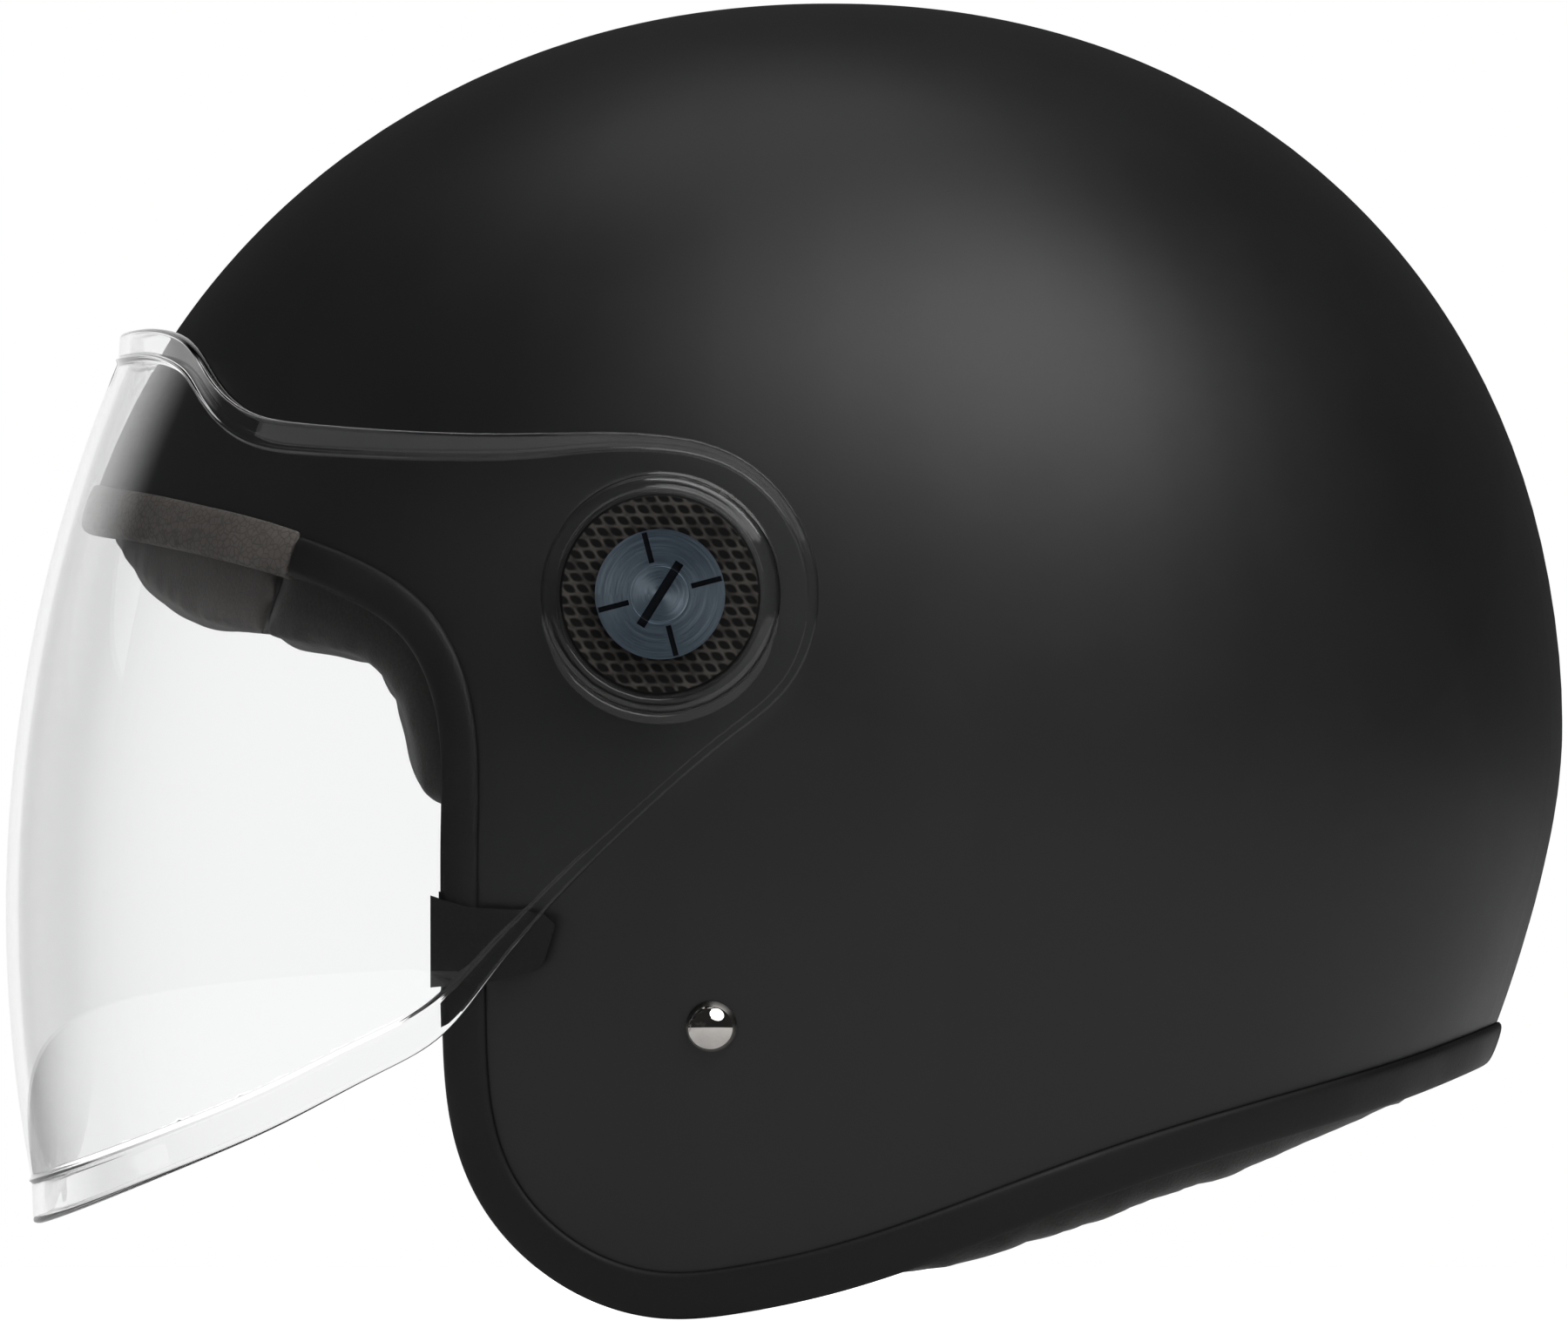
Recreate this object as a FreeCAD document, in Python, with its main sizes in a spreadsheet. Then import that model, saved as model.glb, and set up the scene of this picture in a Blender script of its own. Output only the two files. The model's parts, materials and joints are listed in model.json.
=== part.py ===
"""Open-face motorcycle helmet with a long clear visor, as a parametric FreeCAD document.

Row frame, in millimetres: +Z up, the helmet faces -Y and its left side is +X. The origin is the
centre of the bounding box's base, level with the lowest point of the cheeks.

Every shell-like piece is a layer of one free form: a smooth egg whose size shrinks by an inset.
A layer lies between two insets and is trimmed in side view, through the whole width. The hinge
stack, the rivets and the strap's buckle are ordinary bodies and primitives bound to the sheet.
"""

import FreeCAD, Part

import math
import os

import Sketcher

Vector = FreeCAD.Vector

DIMENSIONS = {
    # the outer form, measured from its widest level
    "form_centre_y": 8.0,
    "form_centre_height": 108.0,
    "form_top_height": 246.0,
    "form_front_reach": 145.0,
    "form_back_reach": 138.0,
    "form_half_width": 120.0,
    "form_skirt_depth": 14.0,
    # shell, liners and trims
    "shell_wall": 4.0,
    "impact_outer_inset": 4.3,
    "impact_inner_inset": 34.0,
    "comfort_outer_inset": 34.3,
    "comfort_inner_inset": 41.0,
    "trim_proud": 1.4,
    "trim_inner_inset": 5.4,
    "trim_web": 1.5,
    "trim_play": 0.05,
    "face_trim_leg": 7.8,
    "brow_trim_leg": 9.2,
    "brow_trim_proud": 1.0,
    "base_trim_leg": 9.2,
    "clip_proud": 2.9,
    "clip_inner_inset": 6.8,
    "pad_outer_inset": 5.8,
    "cheek_block_outer_inset": 4.4,
    "cheek_channel_inset": 14.2,
    "cheek_block_inner_inset": 18.5,
    "cheek_pad_outer_inset": 18.8,
    "cheek_pad_inner_inset": 44.0,
    "neck_roll_outer_inset": 6.5,
    "neck_roll_inner_inset": 26.0,
    # visor
    "visor_half_width": 123.6,
    "visor_wall": 2.2,
    "visor_rim_proud": 0.9,
    "visor_rim_width": 3.6,
    "visor_arc_radius": 262.0,
    "visor_arc_height": 75.7,
    "visor_reach_y": 146.0,
    "visor_ear_radius": 29.6,
    # visor hinge, with depths measured from the middle plane
    "pivot_y": -23.0,
    "pivot_height": 135.0,
    "base_plate_radius": 18.0,
    "base_plate_face": 119.9,
    "hub_radius": 9.42,
    "hub_face": 123.2,
    "dish_bore_radius": 9.5,
    "dish_radius": 21.6,
    "dish_wall": 2.4,
    "dish_back": 120.2,
    "dish_floor": 2.2,
    "dish_depth": 5.0,
    "spring_washer_radius": 13.0,
    "spring_washer_face": 122.65,
    "spring_washer_gauge": 0.4,
    "cover_radius": 18.65,
    "cover_back": 123.3,
    "cover_gauge": 2.0,
    "screw_radius": 3.0,
    "screw_head_radius": 12.1,
    "screw_head_back": 125.4,
    "screw_head_height": 2.6,
    "screw_reach": 21.0,
    "screw_play": 0.06,
    "screw_slot_length": 13.8,
    "screw_slot_width": 1.7,
    "screw_slot_depth": 1.4,
    "screw_groove_length": 6.1,
    "screw_groove_width": 1.0,
    "screw_groove_depth": 0.9,
    "insert_flange_radius": 9.0,
    "insert_barrel_radius": 5.0,
    "insert_back": 107.6,
    "plate_screw_radius": 1.5,
    "plate_screw_circle": 14.0,
    # chin strap
    "rivet_y": -13.5,
    "rivet_height": 54.7,
    "rivet_head_radius": 4.7,
    "rivet_head_height": 2.7,
    "rivet_shank_radius": 2.4,
    "rivet_seat": 115.2,
    "rivet_tail": 103.1,
    "strap_width": 22.0,
    "strap_gauge": 1.5,
    "anchor_plate_back": 106.2,
    "anchor_plate_gauge": 1.2,
    "buckle_width": 28.0,
    "buckle_wall": 1.6,
    "buckle_start": 16.0,
    "buckle_end": 64.0,
    "buckle_top": 10.2,
    "buckle_underside": 2.6,
    "lever_pin_x": 55.0,
    "lever_pin_height": 4.9,
    "lever_pin_radius": 1.2,
    "lever_width": 21.0,
    "tongue_width": 16.0,
    "tooth_pitch": 2.5,
    "tooth_height": 0.8,
}

doc = FreeCAD.newDocument("open_face_helmet")
sheet = doc.addObject("Spreadsheet::Sheet", "Dimensions")
for line, (alias, value) in enumerate(DIMENSIONS.items(), start=1):
    sheet.set(f"A{line}", alias)
    sheet.set(f"B{line}", str(value))
    sheet.setAlias(f"B{line}", alias)
doc.recompute()

ACROSS = 400.0  # a side-view region is extruded this far, past both ears
SIDES = {"left": 1, "right": -1}
made = []


def size(alias):
    """The value of one driving dimension, from the sheet."""
    return float(getattr(sheet, alias))


def keep(feature, label):
    """Names a finished sub-part; its label becomes its file and node name."""
    feature.Label = label
    made.append(feature)
    return feature


def keep_shape(label, shape):
    """A sub-part whose shape comes from Part's own functions, as one clean set of solids."""
    feature = doc.addObject("Part::Feature", label)
    solids = [turned_out(s) for s in shape.Solids]
    feature.Shape = solids[0] if len(solids) == 1 else Part.makeCompound(solids)
    feature.Placement = FreeCAD.Placement()
    return keep(feature, label)


def turned_out(solid):
    """The same solid with its faces pointing outwards."""
    if solid.Volume < 0:
        solid = solid.reversed()
    return solid


def keep_mirrored(label, source):
    """The right-hand copy of a left-hand sub-part."""
    feature = doc.addObject("Part::Mirroring", label)
    feature.Source = source
    feature.Base = Vector(0, 0, 0)
    feature.Normal = Vector(1, 0, 0)
    return keep(feature, label)


def keep_pair(name, shape):
    """A left-hand sub-part and its mirror image."""
    left = keep_shape(f"{name}_left", shape)
    return left, keep_mirrored(f"{name}_right", left)


# ---------------------------------------------------------------- the free form

RING_POINTS = 32
LEVELS_ABOVE = 8
LEVELS_BELOW = 5
PLAN_POWER = 2.2  # the plan outline is a superellipse
SIDE_POWER = 2.4  # the dome's section over the ears
BROW_POWER = 2.05  # the dome's section over the brow
NAPE_POWER = 2.14  # and over the nape
TAPER_POWER = 1.6


def form_point(turn, level, inset):
    """A point of the form. turn runs from the nape past the left ear; level is 1 at the top,
    0 at the widest level and -1 at the skirt's lower edge."""
    side, back = math.sin(turn), math.cos(turn)
    reach = size("form_back_reach") if back > 0 else size("form_front_reach")
    width = size("form_half_width") - inset
    ring = (abs(back) / (reach - inset)) ** PLAN_POWER + (abs(side) / width) ** PLAN_POWER
    ring = ring ** (-1 / PLAN_POWER)
    middle = size("form_centre_height")
    if level >= 0:
        lift = level * math.pi / 2
        end_power = NAPE_POWER if back > 0 else BROW_POWER
        power = end_power * back**2 + SIDE_POWER * side**2
        q = (math.cos(lift) ** power + math.sin(lift) ** power) ** (-1 / power)
        radius = ring * q * math.cos(lift)
        height = middle + (size("form_top_height") - inset - middle) * q * math.sin(lift)
    else:
        end_taper = 0.335 if back > 0 else 0.20
        taper = 0.15 * side**2 + end_taper * back**2
        radius = ring * (1 - taper * (-level) ** TAPER_POWER)
        height = middle + (middle + size("form_skirt_depth") + inset) * level
    return Vector(radius * side, size("form_centre_y") + radius * back, height)


def ring_poles(points):
    """Poles of the uniform closed cubic spline through these points, by repeated correction."""
    count = len(points)
    poles = list(points)
    for _ in range(12):
        poles = [
            poles[i] + points[i] - (poles[i - 1] + poles[i] * 4 + poles[(i + 1) % count]) * (1 / 6)
            for i in range(count)
        ]
    return poles


def form_surface(inset):
    """The form's surface, open at the skirt. Each column of poles runs over the top and down
    the far side, so that the surface is smooth at its topmost point."""
    levels = [i / LEVELS_BELOW - 1 for i in range(LEVELS_BELOW)]
    levels += [i / LEVELS_ABOVE for i in range(LEVELS_ABOVE)]
    turns = [2 * math.pi * i / RING_POINTS for i in range(RING_POINTS)]
    rows = [ring_poles([form_point(turn, level, inset) for turn in turns]) for level in levels]
    top = Vector(0, size("form_centre_y"), size("form_top_height") - inset)
    net = []
    for j in range(RING_POINTS):
        rising = [row[j] for row in rows]
        falling = [row[(j + RING_POINTS // 2) % RING_POINTS] for row in reversed(rows)]
        arch = Part.BSplineCurve()
        points = rising + [top] + falling
        arch.interpolate(Points=points, Parameters=[float(i) for i in range(len(points))])
        arch.segment(0.0, float(len(levels)))
        net.append(arch.getPoles())
    surface = Part.BSplineSurface()
    ring_knots = [float(i) for i in range(RING_POINTS + 1)]
    surface.buildFromPolesMultsKnots(
        net, [1] * len(ring_knots), arch.getMultiplicities(), ring_knots, arch.getKnots(), True, False, 3, 3
    )
    return surface


def closed_solid(faces):
    """One valid solid from faces that close on each other."""
    shell = Part.Shell(faces)
    shell.sewShape()
    solid = Part.Solid(shell)
    if not solid.isValid():
        solid.fix(1e-6, 1e-6, 1e-6)
    return turned_out(solid)


forms = {}


def form(inset):
    """The solid egg at an inset, flat below its skirt."""
    if inset not in forms:
        face = form_surface(inset).toShape()
        rim = [e for e in face.Edges if e.BoundBox.ZLength < 1e-3 and e.Length > 10]
        forms[inset] = closed_solid([face, Part.Face(Part.Wire(rim))])
    return forms[inset]


def layer(outer_inset, inner_inset, region):
    """What lies between two insets of the form and inside a side-view region."""
    return form(outer_inset).cut(form(inner_inset)).common(region)


def form_half_width_at(y, height, inset):
    """Half the form's width at a place, found along a line that crosses it."""
    line = Part.makeLine(Vector(0, y, height), Vector(ACROSS, y, height))
    return line.common(form(inset)).BoundBox.XMax


# ---------------------------------------------------------------- side-view outlines, as (y, z)

# The rolled edge that the trims make round the face opening and the base, from brow to nape.
EDGE = [
    (-150, 149.5), (-125, 146.3), (-107.4, 142.6), (-93.1, 138.7), (-81, 133.9), (-71.7, 127.6),
    (-66.5, 119), (-64, 107), (-63.9, 92), (-63.9, 70), (-63.7, 52), (-62, 35.5), (-57.5, 23),
    (-47.8, 10.9), (-35.5, 3.2), (-22, 0.05), (-8.1, 1.15), (11.4, 5.4), (38, 14.6), (64.2, 24.4),
    (95.4, 34.2), (117.9, 41.4), (131.6, 46.9), (155, 56),
]  # fmt: skip
BROW_END = [(-87.7, 152.5), (-99.3, 120.5)]  # where the brow strip meets the side trims
FACE_TRIM_FOOT = 70.5  # the joint that the trim clip covers
CLIP = [
    (-65.6, 79), (-59.4, 76.9), (-49.4, 76.4), (-44.3, 75.3), (-42.5, 73.5), (-44.7, 66.4),
    (-46.4, 64.9), (-54.2, 63), (-65.6, 61.9),
]  # fmt: skip
LINING_FRONT = [
    (-150, 145.5), (-125.2, 144.8), (-120.8, 139), (-115.2, 133.8), (-108.7, 130.1), (-97.2, 127.3),
    (-86.6, 125), (-81.7, 124.2), (-78, 122.9), (-75.4, 120.6), (-71, 113.8), (-68.6, 103),
    (-67, 97.4), (-64.2, 95.8), (-50, 95.6),
]  # fmt: skip
LINING_DEPTH = 9.4  # the lining strips reach this far in from the rolled edge
IMPACT_FRONT_CLEARANCE = 10.8
IMPACT_FOOT = [
    (-53.6, 105), (-50.5, 102.6), (-42, 102), (-10, 102), (20, 102), (34, 99), (50, 84), (70, 71),
    (95, 69), (120, 75), (160, 84),
]  # fmt: skip
COMFORT_FOOT = [
    (-160, 166), (-104, 157), (-78, 148), (-58, 134), (-46, 118), (-30, 110), (20, 108),
    (52, 97), (80, 84), (110, 82), (160, 90),
]  # fmt: skip
CHEEK_PAD = [
    (-62, 91), (-63.0, 60), (-60.4, 37), (-52.5, 23.5), (-38, 14.8), (-25, 13.4), (0, 14.6),
    (20, 24), (36, 40), (42, 58), (38, 78), (20, 91), (-20, 93.6), (-56, 93.6),
]  # fmt: skip
CHEEK_BLOCK = [
    (-51.5, 90), (-52.6, 60), (-48, 38), (-38, 26), (-20, 21), (0, 22), (16, 30), (30, 42),
    (36, 60), (32, 80), (12, 92), (-20, 95), (-46, 94.6),
]  # fmt: skip
STRAP_CHANNEL = (-38.0, 12.0, 76.0)  # front, back and top of the hollow that the strap swings in
NECK_ROLL = [
    (16, 7.6), (32.4, 10.2), (48.7, 15.1), (64.9, 20.6), (81.1, 26), (97.3, 32.1), (113.5, 39.6),
    (121, 45), (124, 53), (119, 62), (100, 64), (78, 57), (54, 42), (32, 26), (17, 15), (13, 10.5),
]  # fmt: skip
VISOR_TOP = [
    (-160, 184), (-126, 182.6), (-117, 184.0), (-110, 181.6), (-106.6, 177), (-103.2, 172.2),
    (-98, 168.4), (-89.2, 166.6), (-73, 165.4), (-48.7, 164.8),
]  # fmt: skip
VISOR_FOOT = [
    (-25.8, 94.6), (-46.1, 74.3), (-55, 63.4), (-64.5, 52.2), (-74.6, 46.4), (-94.1, 36.2),
    (-113.5, 27.7), (-133, 19.8), (-160, 10.5),
]  # fmt: skip
EAR_ARC_START = 88.0  # the ear's round end, in degrees round the pivot
EAR_ARC_END = -62.0


def offset_points(points, distance):
    """The points moved square to their outline, to the left of its direction."""
    moved = []
    last = len(points) - 1
    for i, (y, z) in enumerate(points):
        before, after = points[max(i - 1, 0)], points[min(i + 1, last)]
        run, rise = after[0] - before[0], after[1] - before[1]
        length = math.hypot(run, rise)
        moved.append((y - rise / length * distance, z + run / length * distance))
    return moved


def spline(points):
    """A smooth edge through side-view points."""
    curve = Part.BSplineCurve()
    curve.interpolate([Vector(0, y, z) for y, z in points])
    return curve.toShape()


def polyline(points):
    """Straight edges through side-view points."""
    spots = [Vector(0, y, z) for y, z in points]
    return [Part.makeLine(a, b) for a, b in zip(spots, spots[1:])]


def region(edges):
    """The side-view area inside these edges, extruded across the whole width."""
    face = Part.Face(Part.Wire(Part.__sortEdges__(edges)))
    slab = face.extrude(Vector(ACROSS, 0, 0))
    slab.translate(Vector(-ACROSS / 2, 0, 0))
    return slab


def above(points):
    """The region above an open outline, up to well over the dome."""
    first, last = points[0], points[-1]
    roof = form_roof()
    return region([spline(points)] + polyline([last, (last[0], roof), (first[0], roof), first]))


def form_roof():
    """A height clear of everything."""
    return size("form_top_height") + 60.0


def polygon(points):
    """The region inside straight sides."""
    return region(polyline(points + points[:1]))


def smooth_loop(points):
    """The region inside a closed smooth outline."""
    curve = Part.BSplineCurve()
    curve.interpolate([Vector(0, y, z) for y, z in points], PeriodicFlag=True)
    return region([curve.toShape()])


def edge_band(width):
    """The region from the rolled edge inwards."""
    return above(EDGE).cut(above(offset_points(EDGE, width)))


def half_space(y_side, y_other, z_low, z_high):
    """A box-shaped region between two values of y and two of z."""
    return polygon([(y_side, z_low), (y_other, z_low), (y_other, z_high), (y_side, z_high)])


left_half = Part.makeBox(ACROSS, 2 * ACROSS, 2 * ACROSS, Vector(0, -ACROSS, -ACROSS))

# ---------------------------------------------------------------- small builders


def tube(start, end, radius, bore=0.0):
    """A round bar or tube between two points."""
    axis = end - start
    bar = Part.makeCylinder(radius, axis.Length, start, axis)
    return bar.cut(Part.makeCylinder(bore, axis.Length, start, axis)) if bore else bar


def at_pivot(depth):
    return Vector(depth, size("pivot_y"), size("pivot_height"))


def at_rivet(depth):
    return Vector(depth, size("rivet_y"), size("rivet_height"))


def outward_placement(side, depth, y, height):
    """Local +Z points out of that side of the helmet, local +Y stays up."""
    turned = FreeCAD.Rotation(Vector(0, side, 0), Vector(0, 0, 1), Vector(side, 0, 0), "ZXY")
    return FreeCAD.Placement(Vector(side * depth, y, height), turned)


def plane_of(body, role):
    return next(f for f in body.Origin.OriginFeatures if f.Role == role)


def flat_sketch(body, name, lift_alias=None):
    """A sketch on the body's own XY plane, lifted by a sheet dimension if one is named."""
    sketch = body.newObject("Sketcher::SketchObject", name)
    sketch.AttachmentSupport = (plane_of(body, "XY_Plane"), [""])
    sketch.MapMode = "FlatFace"
    if lift_alias:
        sketch.setExpression("AttachmentOffset.Base.z", f"Dimensions.{lift_alias}")
    return sketch


def add_circle(sketch, radius):
    """A circle on the sketch's origin whose radius is an expression."""
    index = sketch.addGeometry(Part.Circle(Vector(0, 0, 0), Vector(0, 0, 1), 1.0), False)
    sketch.addConstraint(Sketcher.Constraint("Coincident", index, 3, -1, 1))
    constraint = sketch.addConstraint(Sketcher.Constraint("Radius", index, 1.0))
    sketch.setExpression(f"Constraints[{constraint}]", radius)


def add_box(sketch, left, right, low, high):
    """A rectangle whose four sides lie at expressions measured from the sketch's origin."""
    corners = [Vector(-1, -1, 0), Vector(1, -1, 0), Vector(1, 1, 0), Vector(-1, 1, 0)]
    first = sketch.GeometryCount
    for a, b in zip(corners, corners[1:] + corners[:1]):
        sketch.addGeometry(Part.LineSegment(a, b), False)
    for i in range(4):
        sketch.addConstraint(Sketcher.Constraint("Coincident", first + i, 2, first + (i + 1) % 4, 1))
    sketch.addConstraint(Sketcher.Constraint("Horizontal", first))
    sketch.addConstraint(Sketcher.Constraint("Vertical", first + 1))
    sketch.addConstraint(Sketcher.Constraint("Horizontal", first + 2))
    sketch.addConstraint(Sketcher.Constraint("Vertical", first + 3))
    spans = [("DistanceX", 1, left), ("DistanceX", 2, right), ("DistanceY", 1, low), ("DistanceY", 3, high)]
    points = {1: (first, 1), 2: (first, 2), 3: (first + 2, 1)}
    for kind, corner, expression in spans:
        edge, end = points[corner]
        constraint = sketch.addConstraint(Sketcher.Constraint(kind, -1, 1, edge, end, 1.0))
        sketch.setExpression(f"Constraints[{constraint}]", expression)


def pad(body, sketch, length):
    feature = body.newObject("PartDesign::Pad", f"{sketch.Name}_pad")
    feature.Profile = sketch
    feature.setExpression("Length", length)
    return feature


def pocket(body, sketch, depth):
    """Cuts downwards from the sketch into the body."""
    feature = body.newObject("PartDesign::Pocket", f"{sketch.Name}_pocket")
    feature.Profile = sketch
    feature.setExpression("Length", depth)
    return feature


# ---------------------------------------------------------------- shell, liners and trims


def build_shell():
    """The moulded outer shell, drilled for the two hinge inserts and the two strap rivets."""
    shell = layer(0.0, size("shell_wall"), above(offset_points(EDGE, size("trim_web"))))
    drills = [
        tube(at_pivot(-ACROSS / 2), at_pivot(ACROSS / 2), size("insert_barrel_radius") + 0.1),
        tube(at_rivet(-ACROSS / 2), at_rivet(ACROSS / 2), size("rivet_shank_radius") + 0.1),
    ]
    for drill in drills:
        shell = shell.cut(drill)
    return keep_shape("outer_shell", shell)


def impact_region():
    """Above a line that follows the rolled edge as far as the temples, then runs back."""
    front = [p for p in offset_points(EDGE, IMPACT_FRONT_CLEARANCE) if p[0] < -52 and p[1] > 108]
    return above(front + IMPACT_FOOT)


def build_liners():
    """The impact liner with pockets for the hinge inserts, and the comfort liner inside it."""
    impact = layer(size("impact_outer_inset"), size("impact_inner_inset"), impact_region())
    pocket_radius = size("insert_flange_radius") + 0.5
    for side in SIDES.values():
        start = at_pivot(size("insert_back") - 1.0)
        start.x *= side
        end = at_pivot(ACROSS / 2)
        end.x *= side
        impact = impact.cut(tube(start, end, pocket_radius))
        screw_end = at_pivot(size("screw_head_back") - size("screw_reach") - 3.0)
        screw_end.x *= side
        impact = impact.cut(tube(screw_end, end, size("screw_radius") + 1.0))
    keep_shape("impact_liner", impact)
    keep_shape(
        "comfort_liner",
        layer(size("comfort_outer_inset"), size("comfort_inner_inset"), above(COMFORT_FOOT)),
    )


def trim_channel(leg, proud):
    """A U-shaped channel over the shell's edge: two legs and the web between them."""
    core = layer(
        -size("trim_play"),
        size("shell_wall") + size("trim_play"),
        above(offset_points(EDGE, size("trim_web") - size("trim_play"))),
    )
    return layer(-proud, size("trim_inner_inset"), edge_band(leg)).cut(core)


def brow_side(front):
    """The region ahead of the slanted joint between brow strip and side trims, or behind it."""
    (y_high, z_high), (y_low, z_low) = BROW_END
    slope = (y_high - y_low) / (z_high - z_low)
    roof = form_roof()
    top_y = y_high + slope * (roof - z_high)
    foot = FACE_TRIM_FOOT
    foot_y = y_high + slope * (foot - z_high)
    reach = -160.0 if front else 0.0
    return polygon([(top_y, roof), (foot_y, foot), (reach, foot), (reach, roof)])


def build_trims():
    face = trim_channel(size("face_trim_leg"), size("trim_proud"))
    side_trim = face.common(brow_side(front=False)).common(left_half)
    keep_pair("face_trim", side_trim)
    brow = trim_channel(size("brow_trim_leg"), size("brow_trim_proud"))
    keep_shape("brow_trim", brow.common(brow_side(front=True)))
    base = trim_channel(size("base_trim_leg"), size("trim_proud"))
    below_joint = half_space(-80.0, 160.0, -40.0, FACE_TRIM_FOOT - 0.2)
    behind_face = half_space(-80.0, 0.0, -40.0, FACE_TRIM_FOOT - 0.2)
    base_region = below_joint.fuse(behind_face)
    keep_shape("base_trim", base.common(base_region))
    return side_trim, base


def build_trim_clips():
    """The rubber tab that wraps each trim joint and that the shut visor rests over."""
    body = layer(-size("clip_proud"), size("clip_inner_inset"), polygon(CLIP)).common(left_half)
    play = 2 * size("trim_play")
    shell_core = layer(-play, size("shell_wall") + play, above(offset_points(EDGE, size("trim_web") - play)))
    trim_core = layer(
        -size("trim_proud") - play, size("trim_inner_inset") + play, above(offset_points(EDGE, -play))
    ).common(half_space(-90.0, -52.0, 40.0, 100.0))
    keep_pair("trim_clip", body.cut(shell_core).cut(trim_core))


def build_linings():
    """The padded strips that cover the impact liner's front edge at brow and temples."""
    strip = above(LINING_FRONT).cut(above(offset_points(EDGE, LINING_DEPTH)))
    strip = strip.common(half_space(-160.0, -50.0, 95.0, 160.0))
    lining = layer(size("pad_outer_inset"), size("comfort_inner_inset"), strip)
    keep_shape("brow_pad", lining.common(brow_side(front=True)))
    temple = lining.common(brow_side(front=False)).common(left_half)
    keep_pair("temple_pad", temple)


def build_cheeks():
    """Each cheek has a foam block, hollowed for the strap, and a soft pad snapped onto it."""
    block = layer(
        size("cheek_block_outer_inset"), size("cheek_block_inner_inset"), smooth_loop(CHEEK_BLOCK)
    ).common(left_half)
    front, back, top = STRAP_CHANNEL
    channel = layer(3.0, size("cheek_channel_inset"), half_space(front, back, -40.0, top))
    notch = layer(3.0, size("clip_inner_inset") + 0.3, polygon([(-90, 58), (-41, 60), (-40.5, 80), (-90, 82)]))
    block = block.cut(channel).cut(notch)
    snap_places = [(-45.0, 70.0), (25.0, 74.0), (24.0, 50.0)]
    snaps = []
    for y, z in snap_places:
        outer = form_half_width_at(y, z, size("cheek_block_inner_inset")) + 5.8
        inner = outer - 4.6
        spot = [Vector(depth, y, z) for depth in (inner - 3.0, inner, outer)]
        block = block.cut(tube(spot[0], spot[2] + Vector(0.2, 0, 0), 4.2))
        snaps.append(tube(spot[1], spot[2], 4.0))
    keep_pair("cheek_block", block)
    keep_pair("cheek_snaps", Part.makeCompound(snaps))
    pad_shape = layer(
        size("cheek_pad_outer_inset"), size("cheek_pad_inner_inset"), smooth_loop(CHEEK_PAD)
    ).common(left_half)
    keep_pair("cheek_pad", pad_shape)


def build_neck_roll():
    keep_shape(
        "neck_roll",
        layer(size("neck_roll_outer_inset"), size("neck_roll_inner_inset"), smooth_loop(NECK_ROLL)),
    )


# ---------------------------------------------------------------- visor


VISOR_POWER = 2.3  # the visor's plan, ahead of the pivots, is a superellipse


def visor_half_width(height):
    """The visor narrows a little above and below the ears."""
    over = max(height - 140.0, 0.0)
    under = max(100.0 - height, 0.0)
    return size("visor_half_width") - 0.0006 * (over**2 + under**2)


def visor_front(height):
    """How far forward the visor reaches on the middle plane: one long arc."""
    radius = size("visor_arc_radius")
    rise = height - size("visor_arc_height")
    return radius - size("visor_reach_y") - math.sqrt(radius**2 - rise**2)


def visor_solid(inset):
    """A solid U in plan: an elliptical front between straight sides that pass the ears."""
    back_y = 20.0
    heights = [5.0 + inset / 4 + 19.0 * i for i in range(11)]
    arc_steps = 24
    centre_y = size("pivot_y")
    rows = []
    for height in heights:
        width = visor_half_width(height) - inset
        reach = centre_y - visor_front(height) - inset
        row = [Vector(width, back_y - inset / 4, height), Vector(width, (back_y + centre_y) / 2, height)]
        for i in range(arc_steps + 1):
            turn = math.pi * i / arc_steps
            run, rise = math.cos(turn), math.sin(turn)
            spread = (abs(run) / width) ** VISOR_POWER + (rise / reach) ** VISOR_POWER
            radius = spread ** (-1 / VISOR_POWER)
            row.append(Vector(radius * run, centre_y - radius * rise, height))
        row += [Vector(-p.x, p.y, p.z) for p in reversed(row[:2])]
        rows.append(row)
    surface = Part.BSplineSurface()
    surface.interpolate(rows)
    face = surface.toShape()
    edges = face.Edges
    flat = {"foot": heights[0], "roof": heights[-1]}
    caps = []
    for height in flat.values():
        arch = next(e for e in edges if abs(e.BoundBox.ZMax - height) < 1e-3 and e.BoundBox.ZLength < 1e-3)
        caps.append((arch, height))
    y = back_y - inset / 4
    uprights = [e for e in edges if e.BoundBox.ZLength > 50.0]
    closers = []
    for arch, height in caps:
        width = visor_half_width(height) - inset
        closers.append(Part.makeLine(Vector(width, y, height), Vector(-width, y, height)))
    faces = [face]
    for (arch, _), closer in zip(caps, closers):
        faces.append(Part.Face(Part.Wire(Part.__sortEdges__([arch, closer]))))
    faces.append(Part.Face(Part.Wire(Part.__sortEdges__(uprights + closers))))
    return closed_solid(faces)


def visor_outline(inset):
    """The visor in side view: top edge, round ear and lower edge, grown in by an inset."""
    centre_y, centre_z = size("pivot_y"), size("pivot_height")
    radius = size("visor_ear_radius")
    ear = []
    steps = 6
    for i in range(steps + 1):
        turn = math.radians(EAR_ARC_START + (EAR_ARC_END - EAR_ARC_START) * i / steps)
        ear.append((centre_y + radius * math.cos(turn), centre_z + radius * math.sin(turn)))
    points = offset_points(VISOR_TOP + ear + VISOR_FOOT, -inset)
    return region([spline(points)] + polyline([points[-1], points[0]]))


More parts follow.
